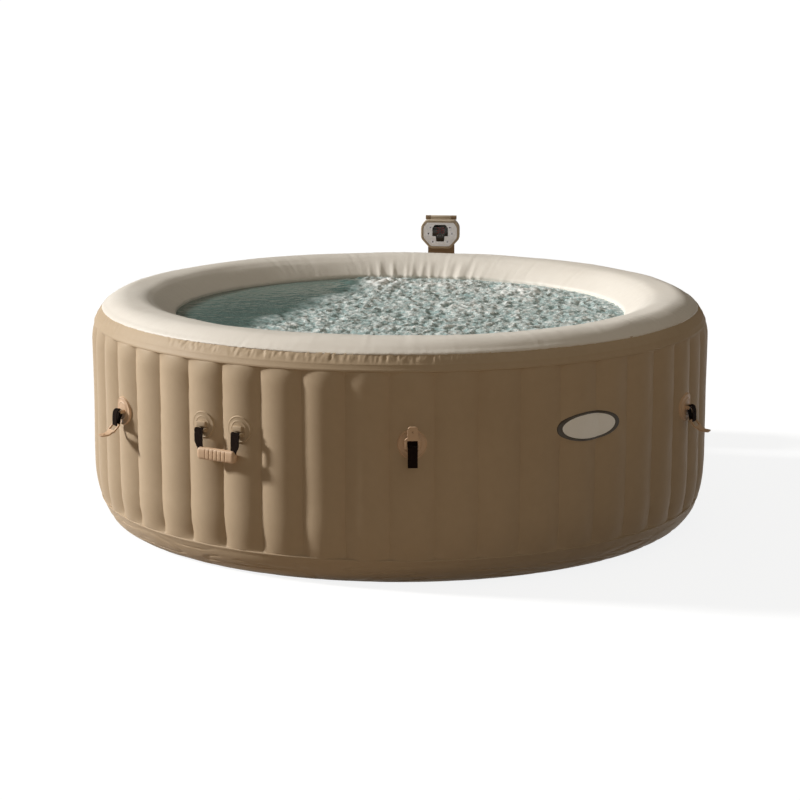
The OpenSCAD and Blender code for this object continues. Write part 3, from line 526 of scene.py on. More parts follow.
# Carry handles
# A handle hangs from two round patches with concentric ridges. Straps of dark webbing go round
# bars on the patches and into the ends of a moulded grip with finger grooves.
tan = grained("tan_plastic", colour(210, 177, 145), colour(224, 192, 161), 0.42, grain=900.0, depth=0.0002)
handle_z = 0.43
handle_patch_z = handle_z + 0.013
handle_patch_r = 0.04
bar_r = 0.0035
bar_off = 0.0133
cheek_x = 0.0166
cheek_w = 0.004
cheek_h = 0.0105
ridge_w = 0.045
ridge_rings = (0.92, 0.6)
strap_w = 0.028
strap_t = 0.0025
loop_r = 0.00505
weave_step = 0.0016
strap_sway = 0.0012
strap_tuck = 0.006
strap_narrowing = 0.36
handle_x = crest_r * math.sin(flute_pitch / 2)
handle_face = crest_r * math.cos(flute_pitch / 2)
handle_bar = handle_face + bar_off
grip_out = handle_bar + loop_r
grip_l = 0.136
grip_h = 0.036
grip_w = 0.022
grip_z = handle_z - 0.066
grip_end = 0.013
grip_square = 0.6
strap_in_grip = 0.002
groove_pitch = 0.014
groove_w = 0.11
groove_d = 0.0014
last_groove = 2.5
hood_w = 0.009
hood_h = 0.015
hood_rise = 0.0155
hood_over = 0.003


def stood(turn, x, out, z):
    """A point by a flute: sideways from its middle, out from the axis of the tub, and up."""
    return around(turn, out, z) + Vector((x * math.cos(turn), x * math.sin(turn), 0.0))


def block(size_x, size_y, size_z, soft):
    """A block with softened edges."""
    made = bmesh.new()
    bmesh.ops.create_cube(made, size=1.0)
    for vert in made.verts:
        vert.co = Vector((size_x * vert.co.x, size_y * vert.co.y, size_z * vert.co.z))
    bmesh.ops.bevel(made, geom=made.edges[:], offset=soft, segments=3, profile=0.5, affect="EDGES",
                    material=-1)
    return made


def rod(radius, length, soft):
    """A rod along X with softened ends."""
    made = bmesh.new()
    bmesh.ops.create_cone(made, cap_ends=True, segments=32, radius1=radius, radius2=radius, depth=length)
    ends = [edge for edge in made.edges if abs(edge.verts[0].co.z - edge.verts[1].co.z) < 1e-6]
    bmesh.ops.bevel(made, geom=ends, offset=soft, segments=3, profile=0.5, affect="EDGES", material=-1)
    for vert in made.verts:
        vert.co = Vector((vert.co.z, vert.co.x, vert.co.y))
    return made


def ridged_patch(turn, z, radius, height, ridge):
    """A round patch that follows its flute, with two ridges and a soft edge."""

    def place(angle, along):
        ridges = sum(ridge * math.exp(-(((along - at) / ridge_w) ** 2)) for at in ridge_rings)
        lift = (height + patch_sunk) * quarter_round((1 - along) / 0.07) - patch_sunk + ridges
        return on_wall(turn, radius * along * math.sin(angle), z + radius * along * math.cos(angle), lift)

    return ring(80, 40, place)


def bar_bridge(shape, turn, x, face, z):
    """The bar for a strap, between two cheeks that stand on the patch."""
    top = bar_off + bar_r
    for side in (-1, 1):
        middle = x + side * cheek_x
        cheek = block(cheek_w, top, cheek_h, soft=0.0012)
        add(shape, cheek, lambda p: stood(turn, middle + p.x, face + top / 2 + p.y, z + p.z))
    bar = rod(bar_r, 2 * cheek_x + cheek_w, soft=0.0008)
    add(shape, bar, lambda p: stood(turn, x + p.x, face + bar_off + p.y, z + p.z))


def arc(out, z, radius, start, end):
    """Points of an arc in the upright plane, with angles in degrees from outwards to up."""
    turns = [math.radians(start + (end - start) * step / 20) for step in range(21)]
    return [Vector((out + radius * math.cos(turn), z + radius * math.sin(turn))) for turn in turns]


def curve(start, lead, tail, end):
    """Points between two places on a curve that leaves towards lead and arrives from tail."""
    points = []
    for share in (step / 24 for step in range(1, 24)):
        first, middle, last = start.lerp(lead, share), lead.lerp(tail, share), tail.lerp(end, share)
        points.append(first.lerp(middle, share).lerp(middle.lerp(last, share), share))
    return points


def straight(start, end, sway=0.0):
    """Points from one place to another, bowed to the left of the way by sway."""
    side = Vector((start.y - end.y, end.x - start.x)).normalized()
    return [start.lerp(end, step / 12) + side * sway * math.sin(math.pi * step / 12) for step in range(1, 12)]


def ribbon(path, place):
    """A strip of webbing along a path. place(across, point, share) is a point, across from -0.5 to 0.5."""
    strip = bmesh.new()
    steps = len(path) - 1
    bmesh.ops.create_grid(strip, x_segments=steps, y_segments=8, size=0.5)
    weave = strip.loops.layers.uv.new("weave")
    for face in strip.faces:
        for loop in face.loops:
            spot = loop.vert.co
            loop[weave].uv = (spot.y * strap_w, (spot.x + 0.5) * steps * weave_step)
    for vert in strip.verts:
        step = round((vert.co.x + 0.5) * steps)
        vert.co = place(vert.co.y, path[step], step / steps)
    strip.normal_update()
    for vert in strip.verts:
        vert.co -= vert.normal * strap_t / 2
    bmesh.ops.solidify(strip, geom=strip.faces[:], thickness=-strap_t)
    bmesh.ops.recalc_face_normals(strip, faces=strip.faces)
    return strip


webbing, surface, place = new_finish("webbing", "UV", Roughness=0.9, Specular_IOR_Level=0.1)
across = place.node("SeparateXYZ", {}, {0: place}, 0)
along = place.node("SeparateXYZ", {}, {0: place}, 1)
ribs = place.math("SINE", (along + across * 0.5) * 3100.0) * place.math("SINE", across * 2600.0)
# The colour is darker in the hollows of the weave and lighter on its raised threads, which is painted shade;
# the clouds add the tape's own uneven tone.
tone_and_weave_shade = ribs * 0.3 + place.clouds(220.0, 4.0)
tone_and_weave_shade.ramp(0.2, 0.9).tint(colour(22, 14, 10), colour(44, 30, 23)).into(surface, "Base Color")
ribs.bump(surface, 0.0006)


def handle_strap(turn, side):
    """A strap round its bar and down into the grip, where it narrows."""
    path = arc(handle_bar, handle_z, loop_r, 300, 0)
    bottom = Vector((grip_out, grip_z + strap_in_grip))
    path += straight(path[-1], bottom, strap_sway) + [bottom]

    def point(across, spot, share):
        tuck = eased((share - 0.8) / 0.17)
        width = strap_w * (1 - strap_narrowing * tuck)
        return stood(turn, side * (handle_x - strap_tuck * tuck) + width * across, spot.x, spot.y)

    return ribbon(path, point)


def grip(turn):
    """The grip, a rounded bar with finger grooves across its outer side."""

    def point(angle, along):
        x = 0.5 * grip_l * math.sin(math.pi * (along - 0.5))
        cap = quarter_round((0.5 * grip_l - abs(x)) / grip_end)
        out, up = math.cos(angle), math.sin(angle)
        nearest = min(last_groove, max(-last_groove, round(x / groove_pitch - 0.5) + 0.5))
        cuts = math.exp(-(((x / groove_pitch - nearest) / groove_w) ** 2))
        groove = groove_d * cuts * eased((out - 0.6) / 0.25)
        round_out = 0.5 * grip_w * math.copysign(abs(out) ** grip_square, out) * cap
        height = grip_h * (0.15 + 0.85 * cap) * min(1.0, 40 * cap)
        round_up = 0.5 * height * math.copysign(abs(up) ** grip_square, up)
        return stood(turn, x, grip_out + round_out - groove, grip_z + round_up)

    shape = ring(56, 150, point)
    bmesh.ops.recalc_face_normals(shape, faces=shape.faces)
    return shape


patches = bmesh.new()
for name, flute in (("front_handle", -3.5), ("rear_handle", 20.5)):
    turn = flute * flute_pitch
    straps = bmesh.new()
    for side in (-1, 1):
        patch_turn = turn + side * flute_pitch / 2
        add(patches, ridged_patch(patch_turn, handle_patch_z, handle_patch_r, height=0.002, ridge=0.001))
        bar_bridge(patches, turn, side * handle_x, handle_face, handle_z)
        middle = Vector((side * handle_x, handle_face + hood_w / 2, handle_z + hood_rise))
        hood = block(strap_w + hood_over, hood_w, hood_h, soft=0.0022)
        add(patches, hood, lambda p: stood(turn, middle.x + p.x, middle.y + p.y, middle.z + p.z))
        add(straps, handle_strap(turn, side))
    piece(name + "_webbing", straps, webbing, name, [name + "_straps"])
    piece(name + "_moulding", grip(turn), tan, name, [name + "_grip"])
piece("handle_patch_mouldings", patches, taupe, "tub", ["handle_patches"])


# Cover latches
# Five tan patches with a bar hold a loop of webbing each. The loop carries a tongue, a frame with
# a tab, that clips to the cover. The front one stands up, and the others hang out and down.
latch_z = 0.425
latch_patch_r = 0.043
latch_bar = crest_r + bar_off
tongue_l = 0.062
tongue_w = 0.044
tab_w = 0.031
tongue_t = 0.005
window_w = 0.032
window_l = 0.0203
hole_at = 0.0465
hole_r = 0.0026
frame_w = 0.002
tongue_bar_r = 0.0032
neck_l = 0.007
tip_l = 0.007
tongue_bow = 0.0016
side_bow = 0.006
fold_r = 0.0042
fold_out = 0.0092
fold_up = 0.033
tail_l = 0.056
front_loop = 0.02
front_tilt = math.radians(100)
side_loop = 0.04
side_tilt = math.radians(165)
latches = (("front", 1), ("right", 9), ("left", -7), ("back_right", 17), ("back_left", -15))


def hung_bar(loop, tilt):
    """How far out and how high a tongue's bar is, in a loop turned from upright to outwards."""
    return latch_bar + loop * math.sin(tilt), latch_z + loop * math.cos(tilt)


def front_webbing(turn):
    """The front loop: round the patch's bar, up to a fold, over the tongue's bar and down to a tail."""
    bar_out, bar_z = hung_bar(front_loop, front_tilt)
    path = arc(latch_bar, latch_z, loop_r, 80, 345)
    fold = arc(latch_bar + fold_out, latch_z + fold_up, fold_r, 180, 0)
    over = arc(bar_out, bar_z, loop_r, 150, 0)
    end = Vector((over[-1].x + 0.001, bar_z - tail_l))
    path += straight(path[-1], fold[0]) + fold + straight(fold[-1], over[0]) + over
    path += straight(over[-1], end, -0.002) + [end]
    return ribbon(path, lambda across, spot, share: stood(turn, strap_w * across, spot.x, spot.y))


def side_webbing(turn):
    """A hanging loop: over the patch's bar, out in a bow, round the tongue's bar and back."""
    bar_out, bar_z = hung_bar(side_loop, side_tilt)
    over = arc(latch_bar, latch_z, loop_r, 195, 100)
    under = arc(bar_out, bar_z, loop_r, 15, -165)
    lead = over[-1] + Vector((0.019, 0.004))
    tail = under[0] + Vector((-0.0015, 0.017))
    path = over + curve(over[-1], lead, tail, under[0]) + under
    path += straight(under[-1], over[0], -0.001) + [over[0]]
    return ribbon(path, lambda across, spot, share: stood(turn, strap_w * across, spot.x, spot.y))


def tongue_shape(bend):
    """The tongue lying flat: sideways, along from its bar, and off its plane by bend()."""
    flat = bmesh.new()
    bmesh.ops.create_grid(flat, x_segments=16, y_segments=34, size=0.5)
    for vert in flat.verts:
        along = tongue_l * (vert.co.y + 0.5)
        neck = eased((along - window_l - 2 * frame_w) / neck_l)
        half = 0.5 * (tongue_w + (tab_w - tongue_w) * neck) - 0.0018 * eased((along - 0.034) / 0.028)
        tip = quarter_round((tongue_l - along) / tip_l)
        vert.co = Vector((2 * half * vert.co.x * (0.55 + 0.45 * tip), along, 0.0))
    opened = []
    for face in flat.faces:
        middle = face.calc_center_median()
        if abs(middle.x) < window_w / 2 and frame_w < middle.y < window_l + frame_w / 2:
            opened.append(face)
    hub = min(flat.verts, key=lambda vert: math.hypot(vert.co.x, vert.co.y - hole_at))
    centre = hub.co.copy()
    edge = {vert for face in hub.link_faces for vert in face.verts} - {hub}
    for vert in edge:
        vert.co = centre + (vert.co - centre).normalized() * hole_r
    bmesh.ops.delete(flat, geom=opened + list(hub.link_faces), context="FACES")
    for vert in flat.verts:
        vert.co.z = bend(vert.co.y / tongue_l) - tongue_t / 2
    bmesh.ops.solidify(flat, geom=flat.faces[:], thickness=-tongue_t)
    bmesh.ops.recalc_face_normals(flat, faces=flat.faces)
    add(flat, rod(tongue_bar_r, tongue_w, soft=0.0008))
    return flat


def front_bend(share):
    return tongue_bow * math.sin(math.pi * share)


def side_bend(share):
    return side_bow * math.sin(math.pi * share) - side_bow * eased((share - 0.62) / 0.38)


def set_tongue(turn, bar_out, bar_z, tilt):
    """Stands a tongue at its bar, turned from upright to outwards by tilt."""
    out_way, up_way = math.sin(tilt), math.cos(tilt)

    def place(p):
        return stood(turn, p.x, bar_out + p.y * out_way + p.z * up_way, bar_z + p.y * up_way - p.z * out_way)

    return place


latch_patches = bmesh.new()
latch_loops = bmesh.new()
for name, flute in latches:
    turn = flute * flute_pitch
    front = name == "front"
    bar_out, bar_z = hung_bar(front_loop, front_tilt) if front else hung_bar(side_loop, side_tilt)
    tilt = math.radians(5 if front else 125)
    add(latch_patches, ridged_patch(turn, latch_z, latch_patch_r, height=0.004, ridge=0.0016))
    bar_bridge(latch_patches, turn, 0.0, crest_r, latch_z)
    add(latch_loops, front_webbing(turn) if front else side_webbing(turn))
    tongue = bmesh.new()
    add(tongue, tongue_shape(front_bend if front else side_bend), set_tongue(turn, bar_out, bar_z, tilt))
    stands_for = [f"latch_tongue_{name}"]
    piece(f"tongue_{name}", tongue, tan, f"latch_{name}", stands_for, soft=0.0009)
piece("latch_patch_mouldings", latch_patches, tan, "tub", ["latch_patches"])
piece("latch_webbing", latch_loops, webbing, "tub", ["latch_straps"])


# Valve and drain
# The inflation valve is a tan collar with a spring plunger and a screw cap. The drain is a plain
# tube with a screw cap.
black = grained("black_plastic", colour(28, 27, 26), colour(40, 39, 38), 0.4, grain=900.0, depth=0.0002)
steel, surface, place = new_finish("steel", Metallic=1.0)
drawn = place.node("Mapping", {}, {"Vector": place, "Scale": (1.0, 1.0, 24.0)}).clouds(90.0, 3.0)
drawn.tint(colour(176, 178, 180), colour(205, 206, 207)).into(surface, "Base Color")
(0.2 + drawn * 0.22).into(surface, "Roughness")
dress(tan, "valve_body", "valve_cap", "drain_body", "drain_cap")
dress(black, "valve_plunger")
valve_turn = 27 * flute_pitch
valve_z = 0.48
spring_sunk = 0.0097
spring_low = crest_r - spring_sunk
spring_l = 0.0114
spring_r = 0.0052
wire_r = 0.0005
coils = 4


def spring_point(turn, along):
    """The wire of the valve spring: round the wire by a turn, and along its coils."""
    twist = math.tau * coils * along
    reach = spring_r + wire_r * math.cos(turn)
    out = spring_low + wire_r + (spring_l - 2 * wire_r) * along + wire_r * math.sin(turn)
    return stood(valve_turn, reach * math.cos(twist), out, valve_z + reach * math.sin(twist))


wire = ring(10, 120, spring_point)
bmesh.ops.holes_fill(wire, edges=[edge for edge in wire.edges if edge.is_boundary], sides=0)
bmesh.ops.recalc_face_normals(wire, faces=wire.faces)
spring = piece("valve_coil", wire, steel, "tub", ["valve_spring"])
outwards = around(valve_turn, 1.0, 0.0)
seat = around(valve_turn, spring_low, valve_z)
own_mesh(spring)


# Ports and filter
# Brown fittings in the back of the wall carry the water and the air, with rubber gaskets and
# union nuts. Inside the pool a strainer covers one port and a paper filter in a case the other.
brown = grained(
    "brown_plastic", colour(150, 127, 103), colour(166, 143, 117), 0.46, grain=800.0, depth=0.0003
)
rubber = grained("rubber", colour(30, 29, 28), colour(46, 45, 43), 0.72, grain=300.0, depth=0.0005)
grey = grained("grey_plastic", colour(128, 130, 132), colour(146, 148, 150), 0.46, grain=800.0, depth=0.0003)
paper, surface, place = new_finish("filter_paper", Roughness=0.95, Specular_IOR_Level=0.1)
pleats = place.node("TexWave", {"wave_type": "RINGS"}, {"Vector": place, "Scale": 60.0, "Distortion": 1.5})
# The paper is painted darker in the hollows of its pleats, which is painted shade; the fine clouds are its
# fibres.
fibres_and_pleat_shade = pleats * 0.6 + place.clouds(500.0, 4.0) * 0.4
fibres_and_pleat_shade.tint(colour(206, 210, 208), colour(236, 238, 234)).into(surface, "Base Color")
fibres_and_pleat_shade.bump(surface, 0.002)
dress(brown, "wall_fittings", "union_nut_inlet", "union_nut_outlet", "union_nut_air", "strainer_grid")
dress(rubber, "fitting_gaskets")
dress(grey, "filter_housing")
dress(paper, "filter_cartridge")


# Control unit
# A moulded case in two shells stands on a tray with rubber feet behind the tub. It holds the pump,
# the heater, the blower and the electronics box.
shell = grained("shell_plastic", colour(164, 144, 118), colour(178, 158, 131), 0.5, grain=620.0, depth=0.0005)
pipe = grained("pipe_white", colour(222, 221, 214), colour(236, 235, 229), 0.3, grain=900.0, depth=0.0001)
dress(shell, "unit_front_shell", "unit_rear_shell")
dress(brown, "unit_tray", "pump_housing", "air_blower")
dress(rubber, "unit_feet")
dress(steel, "unit_screws", "heater_tube")
dress(grey, "pump_impeller", "blower_fan", "power_box")
dress(pipe, "water_pipe")


# Neck and head
# A neck on the unit carries the control head on a hinge. The head has a case, a bezel with cut
# corners, a pale key panel with six keys and a dark display with two plain digits.
head_low, head_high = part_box("head_bezel")
case_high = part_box("head_case")[1]
neck_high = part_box("neck_post")[1]
head_x = (head_low.x + head_high.x) / 2
head_z = (head_low.z + head_high.z) / 2
half_w = (head_high.x - head_low.x) / 2
half_h = (head_high.z - head_low.z) / 2
knuckle_r = 0.008
hinge_z = neck_high.z - knuckle_r
hinge_y = case_high.y - knuckle_r
knuckle_l = 0.075
case_gap = 0.001
case_t = 0.013
strut_w = 0.011
strut_off = 0.009
rim_w = 0.0085
rim_soft = 0.003
recess = 0.0075
recess_draft = 0.0008
key_r = 0.0048
key_gap = 0.0004
panel_sunk = 0.002
face_y = head_low.y + panel_sunk


def rounded(outline, reach):
    """The outline with each corner turned into a curve that starts at a distance from it."""
    points = []
    for before, corner, after in zip(outline[-1:] + outline[:-1], outline, outline[1:] + outline[:1]):
        start = corner + (before - corner).normalized() * reach
        end = corner + (after - corner).normalized() * reach
        for share in (step / 6 for step in range(7)):
            points.append(start.lerp(corner, share).lerp(corner.lerp(end, share), share))
    return points


def slab(outline, reach, front, back, soft, holes=()):
    """An upright plate on the head with a rounded outline, round holes and softened front edges."""
    made = bmesh.new()
    points = rounded([Vector(point) for point in outline], reach)
    made.faces.new([made.verts.new((head_x + point.x, front, head_z + point.y)) for point in points])
    for hole_x, hole_z, radius in holes:
        circle = bmesh.ops.create_circle(made, segments=32, radius=radius)["verts"]
        for vert in circle:
            vert.co = Vector((hole_x + vert.co.x, front, hole_z + vert.co.y))
    if holes:
        bmesh.ops.delete(made, geom=made.faces[:], context="FACES_ONLY")
        bmesh.ops.triangle_fill(made, use_beauty=True, edges=made.edges[:])
    grown = bmesh.ops.extrude_face_region(made, geom=made.faces[:])["geom"]
    for vert in (part for part in grown if isinstance(part, bmesh.types.BMVert)):
        vert.co.y = back
    bmesh.ops.recalc_face_normals(made, faces=made.faces)
    edges = []
    for edge in made.edges:
        if all(abs(vert.co.y - front) < 1e-7 for vert in edge.verts) and edge.calc_face_angle() > 1:
            edges.append(edge)
    bmesh.ops.bevel(made, geom=edges, offset=soft, segments=3, profile=0.5, affect="EDGES", material=-1)
    return made


def cut_corners(a, b):
    """The outline of the head: small cut corners above and long ones below."""
    top = b + 0.003
    return [(a, 0.63 * b), (0.78 * a, top), (-0.78 * a, top), (-a, 0.63 * b),
            (-a, -0.28 * b), (-0.53 * a, -b), (0.53 * a, -b), (a, -0.28 * b)]


bezel_finish = grained(
    "bezel_plastic", colour(196, 181, 160), colour(212, 198, 178), 0.3, grain=900.0, depth=0.0002
)
case_outline = cut_corners(half_w - case_gap, half_h - case_gap)
case = slab(case_outline, reach=0.008, front=case_high.y - case_t, back=head_high.y, soft=0.005)
hinge = Vector((head_x, hinge_y, hinge_z))
add(case, rod(knuckle_r, knuckle_l, soft=0.001), lambda p: hinge + p)
strut_middle = hinge - Vector((0.0, strut_off, strut_off))
add(case, block(knuckle_l, strut_w, strut_w, soft=0.001), lambda p: strut_middle + p)
piece("head_case_moulding", case, bezel_finish, "head", ["head_case"])

bezel_outline = cut_corners(half_w, half_h)
bezel = slab(bezel_outline, reach=0.01, front=head_low.y, back=head_high.y, soft=rim_soft)
bezel_face = min(bezel.faces, key=lambda face: face.calc_center_median().y)
bmesh.ops.inset_region(bezel, faces=[bezel_face], thickness=rim_w - rim_soft)
bmesh.ops.inset_region(bezel, faces=[bezel_face], thickness=recess_draft, depth=-recess)
piece("bezel", bezel, bezel_finish, "head", ["head_bezel"])

# The key panel and the key caps glow faintly white, which is painted light, for they hold no lamp. Their
# clear coat is real.
panel_coat_and_glow = {"Coat_Weight": 1.0, "Emission_Strength": 0.14}
panel_finish = grained(
    "panel_grey", colour(236, 239, 249), colour(246, 248, 254), 0.25, grain=900.0, depth=0.0001, **panel_coat_and_glow
)
panel_outline = cut_corners(half_w - rim_w - 0.001, half_h - rim_w + 0.001)
keys = {"top_left": 3, "top_right": 6, "mid_left": 8, "mid_right": 4, "low_left": 5, "low_right": 3}
key_middles = {}
for name in keys:
    key_low, key_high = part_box("key_" + name)
    key_middles[name] = (key_low + key_high) / 2
holes = [(middle.x, middle.z, key_r + key_gap) for middle in key_middles.values()]
panel_back = head_low.y + recess + 0.0005
panel = slab(panel_outline, reach=0.009, front=face_y, back=panel_back, soft=0.0008, holes=holes)
piece("key_panel", panel, panel_finish, "head", ["face_panel"])

glass, surface, place = new_finish("display_glass", Roughness=0.1, Coat_Weight=0.6)
place.clouds(30.0, 3.0).tint(colour(14, 12, 12), colour(24, 21, 20)).into(surface, "Base Color")
lit, surface, place = new_finish("lit_digits", Roughness=0.4, Emission_Strength=0.05)
glow = place.clouds(300.0, 2.0).tint(colour(116, 24, 20), colour(150, 36, 30))
glow.into(surface, "Base Color")
glow.into(surface, "Emission Color")
mark = grained("printed_mark", colour(62, 62, 70), colour(78, 78, 86), 0.6, grain=900.0, depth=0.0001)
white_mark = grained(
    "white_mark", colour(176, 176, 180), colour(196, 196, 199), 0.6, grain=900.0, depth=0.0001
)
window_points = [(0.029, -0.005), (0.029, 0.025), (0.02, 0.037), (-0.02, 0.037), (-0.029, 0.025),
                 (-0.029, -0.005), (-0.0165, -0.005), (-0.0148, -0.025), (0.0148, -0.025), (0.0165, -0.005)]
window = slab(window_points, reach=0.0032, front=face_y - 0.0005, back=face_y + 0.001, soft=0.0004)
print_y = face_y - 0.0007
print_t = 0.0006
print_soft = 0.0002
stroke = 0.0024
digit_h = 0.019
digit_w = 0.0105
digit_x = 0.009
digit_z = 0.0165
dash_w = 0.004
dash_h = 0.0016
dash_z = -0.003
bars = {"a": (0, 0.5, 1), "d": (0, -0.5, 1), "g": (0, 0, 1), "b": (0.5, 0.25, 0), "c": (0.5, -0.25, 0),
        "e": (-0.5, -0.25, 0), "f": (-0.5, 0.25, 0)}
for place_x, lit_bars in ((-digit_x, "abgcd"), (digit_x, "abcdefg")):
    for name in lit_bars:
        share_x, share_z, level = bars[name]
        length = digit_w - stroke if level else digit_h / 2 - stroke
        size_x, size_z = (length, stroke) if level else (stroke, length)
        at = Vector((head_x + place_x + share_x * digit_w, print_y, head_z + digit_z + share_z * digit_h))
        add(window, block(size_x, print_t, size_z, print_soft), lambda p: at + p, finish=1)
for place_x in (-digit_x, 0.0, digit_x):
    at = Vector((head_x + place_x, print_y, head_z + dash_z))
    add(window, block(dash_w, print_t, dash_h, print_soft), lambda p: at + p, finish=2)
piece("display", window, [glass, lit, white_mark], "head", ["display_window"])

key_front = face_y - 0.0015
key_back = face_y + 0.0035
sign_r = 0.003
for name, corners in keys.items():
    middle = key_middles[name]
    at = Vector((middle.x, (key_front + key_back) / 2, middle.z))
    cap = bmesh.new()
    add(cap, rod(key_r, key_back - key_front, soft=0.001), lambda p: at + Vector((p.y, p.x, p.z)))
    sign = []
    for turn in (math.tau * step / corners for step in range(corners)):
        sign_x = middle.x - head_x + sign_r * math.sin(turn)
        sign.append((sign_x, middle.z - head_z + sign_r * math.cos(turn)))
    plate = slab(sign, reach=0.0004, front=key_front - 0.0002, back=key_front + 0.0005, soft=0.0001)
    add(cap, plate, finish=1)
    # The caps take the panel's finish, with its faint painted glow.
    piece("key_cap_" + name, cap, [panel_finish, mark], "key_" + name, ["key_" + name])

board, surface, place = new_finish("circuit_board", Roughness=0.35)
tracks = place.node("TexVoronoi", {"distance": "MANHATTAN"}, {"Vector": place, "Scale": 140.0})
tracks.ramp(0.3, 0.4).tint(colour(28, 104, 62), colour(14, 66, 38)).into(surface, "Base Color")
dress(board, "head_board")
dress(brown, "neck_post")


# Water
# The tub is filled to a hand's breadth below its rim, and the air jets make the water choppy.
# Only the top layer of the water is made.
water_z = 0.641
water_depth = 0.08
water_r = inner_r + 0.002
# To the left of a straight line across the pool the water is calm, and the material paints it in shade there,
# as the shadow of the rim; to the right it churns into froth.
froth_and_shade_way = Vector((0.9565, -0.2916, 0.0))
froth_and_shade_edge = -0.353
mound_w = 0.1
mounds = ((-0.15, 0.58, 0.024), (0.1, 0.5, 0.012), (0.36, 0.42, 0.014), (0.2, 0.1, 0.008))


def water_point(x, y):
    """A point of the surface: chop with sharp crests, mounds over the jets, and a calmer edge."""
    spot = Vector((water_r * x, water_r * y, 0.0))
    churned_unshaded = 0.12 + 0.88 * eased((spot.dot(froth_and_shade_way) - froth_and_shade_edge + 0.06) / 0.2)
    chop = noise.fractal(spot * 14.0, 0.9, 2.1, 6)
    crest = 1 - abs(noise.fractal(spot * 24.0 + Vector((3.0, 5.0, 1.0)), 0.9, 2.0, 4))
    rise = (0.006 * chop + 0.009 * crest**2 - 0.0055) * churned_unshaded
    for mound_x, mound_y, height in mounds:
        away = math.hypot(spot.x - mound_x, spot.y - mound_y) / mound_w
        rise += height * math.exp(-away * away) * (0.7 + 0.6 * noise.noise(spot * 30.0))
    edge = 1 - eased((math.hypot(x, y) - 0.93) / 0.07)
    return spot + Vector((0.0, 0.0, water_z + rise * (0.25 + 0.75 * edge)))


water = disc(300, water_point)
hem = [edge for edge in water.edges if edge.is_boundary]
grown = bmesh.ops.extrude_edge_only(water, edges=hem)["geom"]
for vert in (part for part in grown if isinstance(part, bmesh.types.BMVert)):
    vert.co.z = water_z - water_depth
bmesh.ops.holes_fill(water, edges=[edge for edge in water.edges if edge.is_boundary], sides=0)
bmesh.ops.recalc_face_normals(water, faces=water.faces)
foam, surface, place = new_finish("churned_and_shaded_water", IOR=1.33, Specular_IOR_Level=0.5)
height = place.node("SeparateXYZ", {}, {0: place}, 2)
froth_and_shade_side = place.node("VectorMath", {"operation": "DOT_PRODUCT"}, {0: place, 1: froth_and_shade_way}, 1)
# This mask is 0 on the calm side, where the water is painted in shade, and 1 on the churned side.
churned_unshaded = (froth_and_shade_side - froth_and_shade_edge + place.clouds(7.0, 4.0) * 0.2 - 0.1).ramp(0.0, 0.09)
foam_height = (height - water_z) * 28.0 + place.clouds(60.0, 8.0) * 1.5 + place.clouds(230.0, 5.0) * 1.0
froth = (foam_height - 1.0).ramp(0.08, 0.7) * churned_unshaded
# The calm water is a dark teal and the churned water a lighter green-teal: partly their own colours, partly
# painted shade on the calm side.
calm_and_shaded = place.clouds(9.0, 3.0).tint(colour(84, 108, 104), colour(110, 134, 129))
green = churned_unshaded.tint(calm_and_shaded, colour(160, 184, 184))
froth.tint(green, colour(252, 253, 251)).into(surface, "Base Color")
(0.1 + froth * 0.5).into(surface, "Roughness")
((place.clouds(130.0, 6.0) + place.clouds(380.0, 4.0) * 0.5) * (0.12 + churned_unshaded * 0.88)).bump(surface, 0.0022)
piece("water", water, foam, "tub")


# Camera
# A long lens a little above the rim, as in the photograph.
view_turn = math.radians(5.5)
view_lift = math.radians(11.65)
view_distance = 7.3
view_target = Vector((0.0, 0.0, 0.35))
lens = bpy.data.cameras.new("camera")
lens.sensor_width = 36.0
lens.lens = 101.6
camera = bpy.data.objects.new("camera", lens)
bpy.context.scene.collection.objects.link(camera)
level = view_distance * math.cos(view_lift)
camera.location = view_target + Vector((
    level * math.sin(view_turn),
    -level * math.cos(view_turn),
    view_distance * math.sin(view_lift),
))
camera.rotation_euler = (math.pi / 2 - view_lift, 0.0, view_turn)
bpy.context.scene.camera = camera


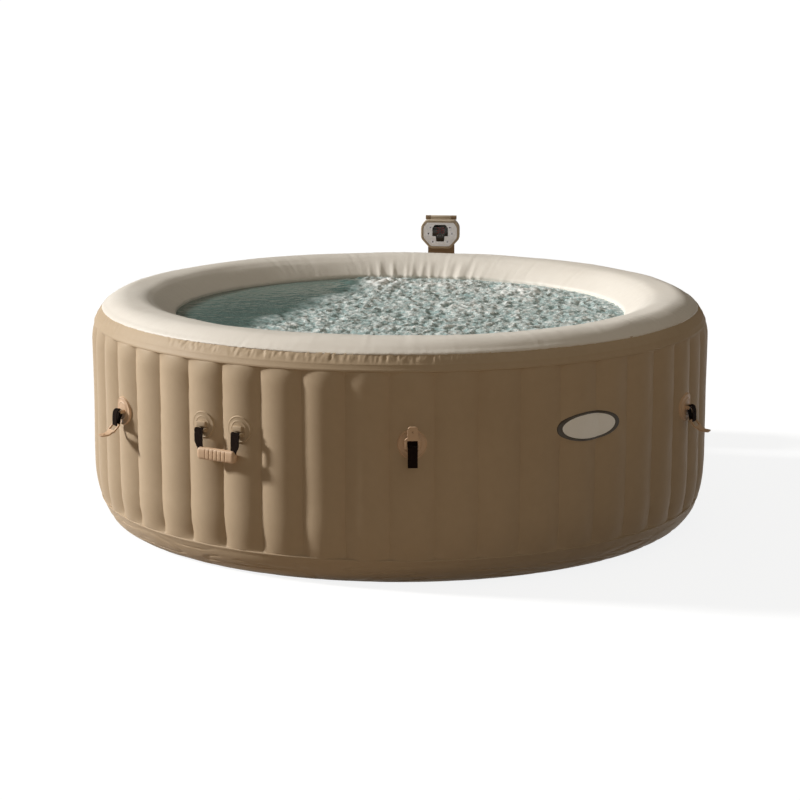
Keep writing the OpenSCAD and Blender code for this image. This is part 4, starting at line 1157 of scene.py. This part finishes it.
# Floor and light
# A pale floor, a key light from the left and a little behind, a weak fill and a dim sky.
ground_reach = 250.0
lamp_distance = 5.0
ground = bmesh.new()
bmesh.ops.create_grid(ground, x_segments=1, y_segments=1, size=ground_reach)
ground_data = bpy.data.meshes.new("ground")
ground.to_mesh(ground_data)
ground.free()
ground_object = bpy.data.objects.new("ground", ground_data)
bpy.context.scene.collection.objects.link(ground_object)
pale, surface, place = new_finish("pale_floor", Roughness=0.9, Emission_Strength=1.0)
seen = 0.0
for ray in ("Is Camera Ray", "Is Glossy Ray", "Is Transmission Ray"):
    seen = seen + place.node("LightPath", {}, {}, ray)
seen.tint((0.28, 0.2, 0.12, 1.0), (0.22, 0.22, 0.22, 1.0)).into(surface, "Base Color")
seen.tint((0.0, 0.0, 0.0, 1.0), (0.85, 0.855, 0.86, 1.0)).into(surface, "Emission Color")
ground_data.materials.append(pale)

world = bpy.data.worlds.new("studio")
bpy.context.scene.world = world
world.use_nodes = True
sky = world.node_tree.nodes["Background"]
way = Wire(world.node_tree, world.node_tree.nodes.new("ShaderNodeTexCoord").outputs["Generated"])
up = way.node("SeparateXYZ", {}, {0: way}, 2)
dim = (up * up).tint((0.02, 0.018, 0.015, 1.0), (0.38, 0.345, 0.29, 1.0))
shown = way.node("LightPath", {}, {}, "Is Camera Ray")
shown.tint(dim, (1.0, 1.0, 1.0, 1.0)).into(sky, "Color")

lamps = {
    "key": (-96, 25, 3.8, 6, (1.0, 0.985, 0.955)),
    "fill": (25, 15, 0.26, 60, (1.0, 0.86, 0.68)),
}
for name, (turn, lift, power, softness, tone) in lamps.items():
    light = bpy.data.lights.new(name, "SUN")
    light.energy = power
    light.angle = math.radians(softness)
    light.color = tone
    lamp = bpy.data.objects.new(name, light)
    bpy.context.scene.collection.objects.link(lamp)
    lamp_z = lamp_distance * math.tan(math.radians(lift))
    lamp.location = around(math.radians(turn), lamp_distance, lamp_z)
    lamp.rotation_euler = (-lamp.location).to_track_quat("-Z", "Y").to_euler()

bpy.context.scene.view_settings.view_transform = "Standard"
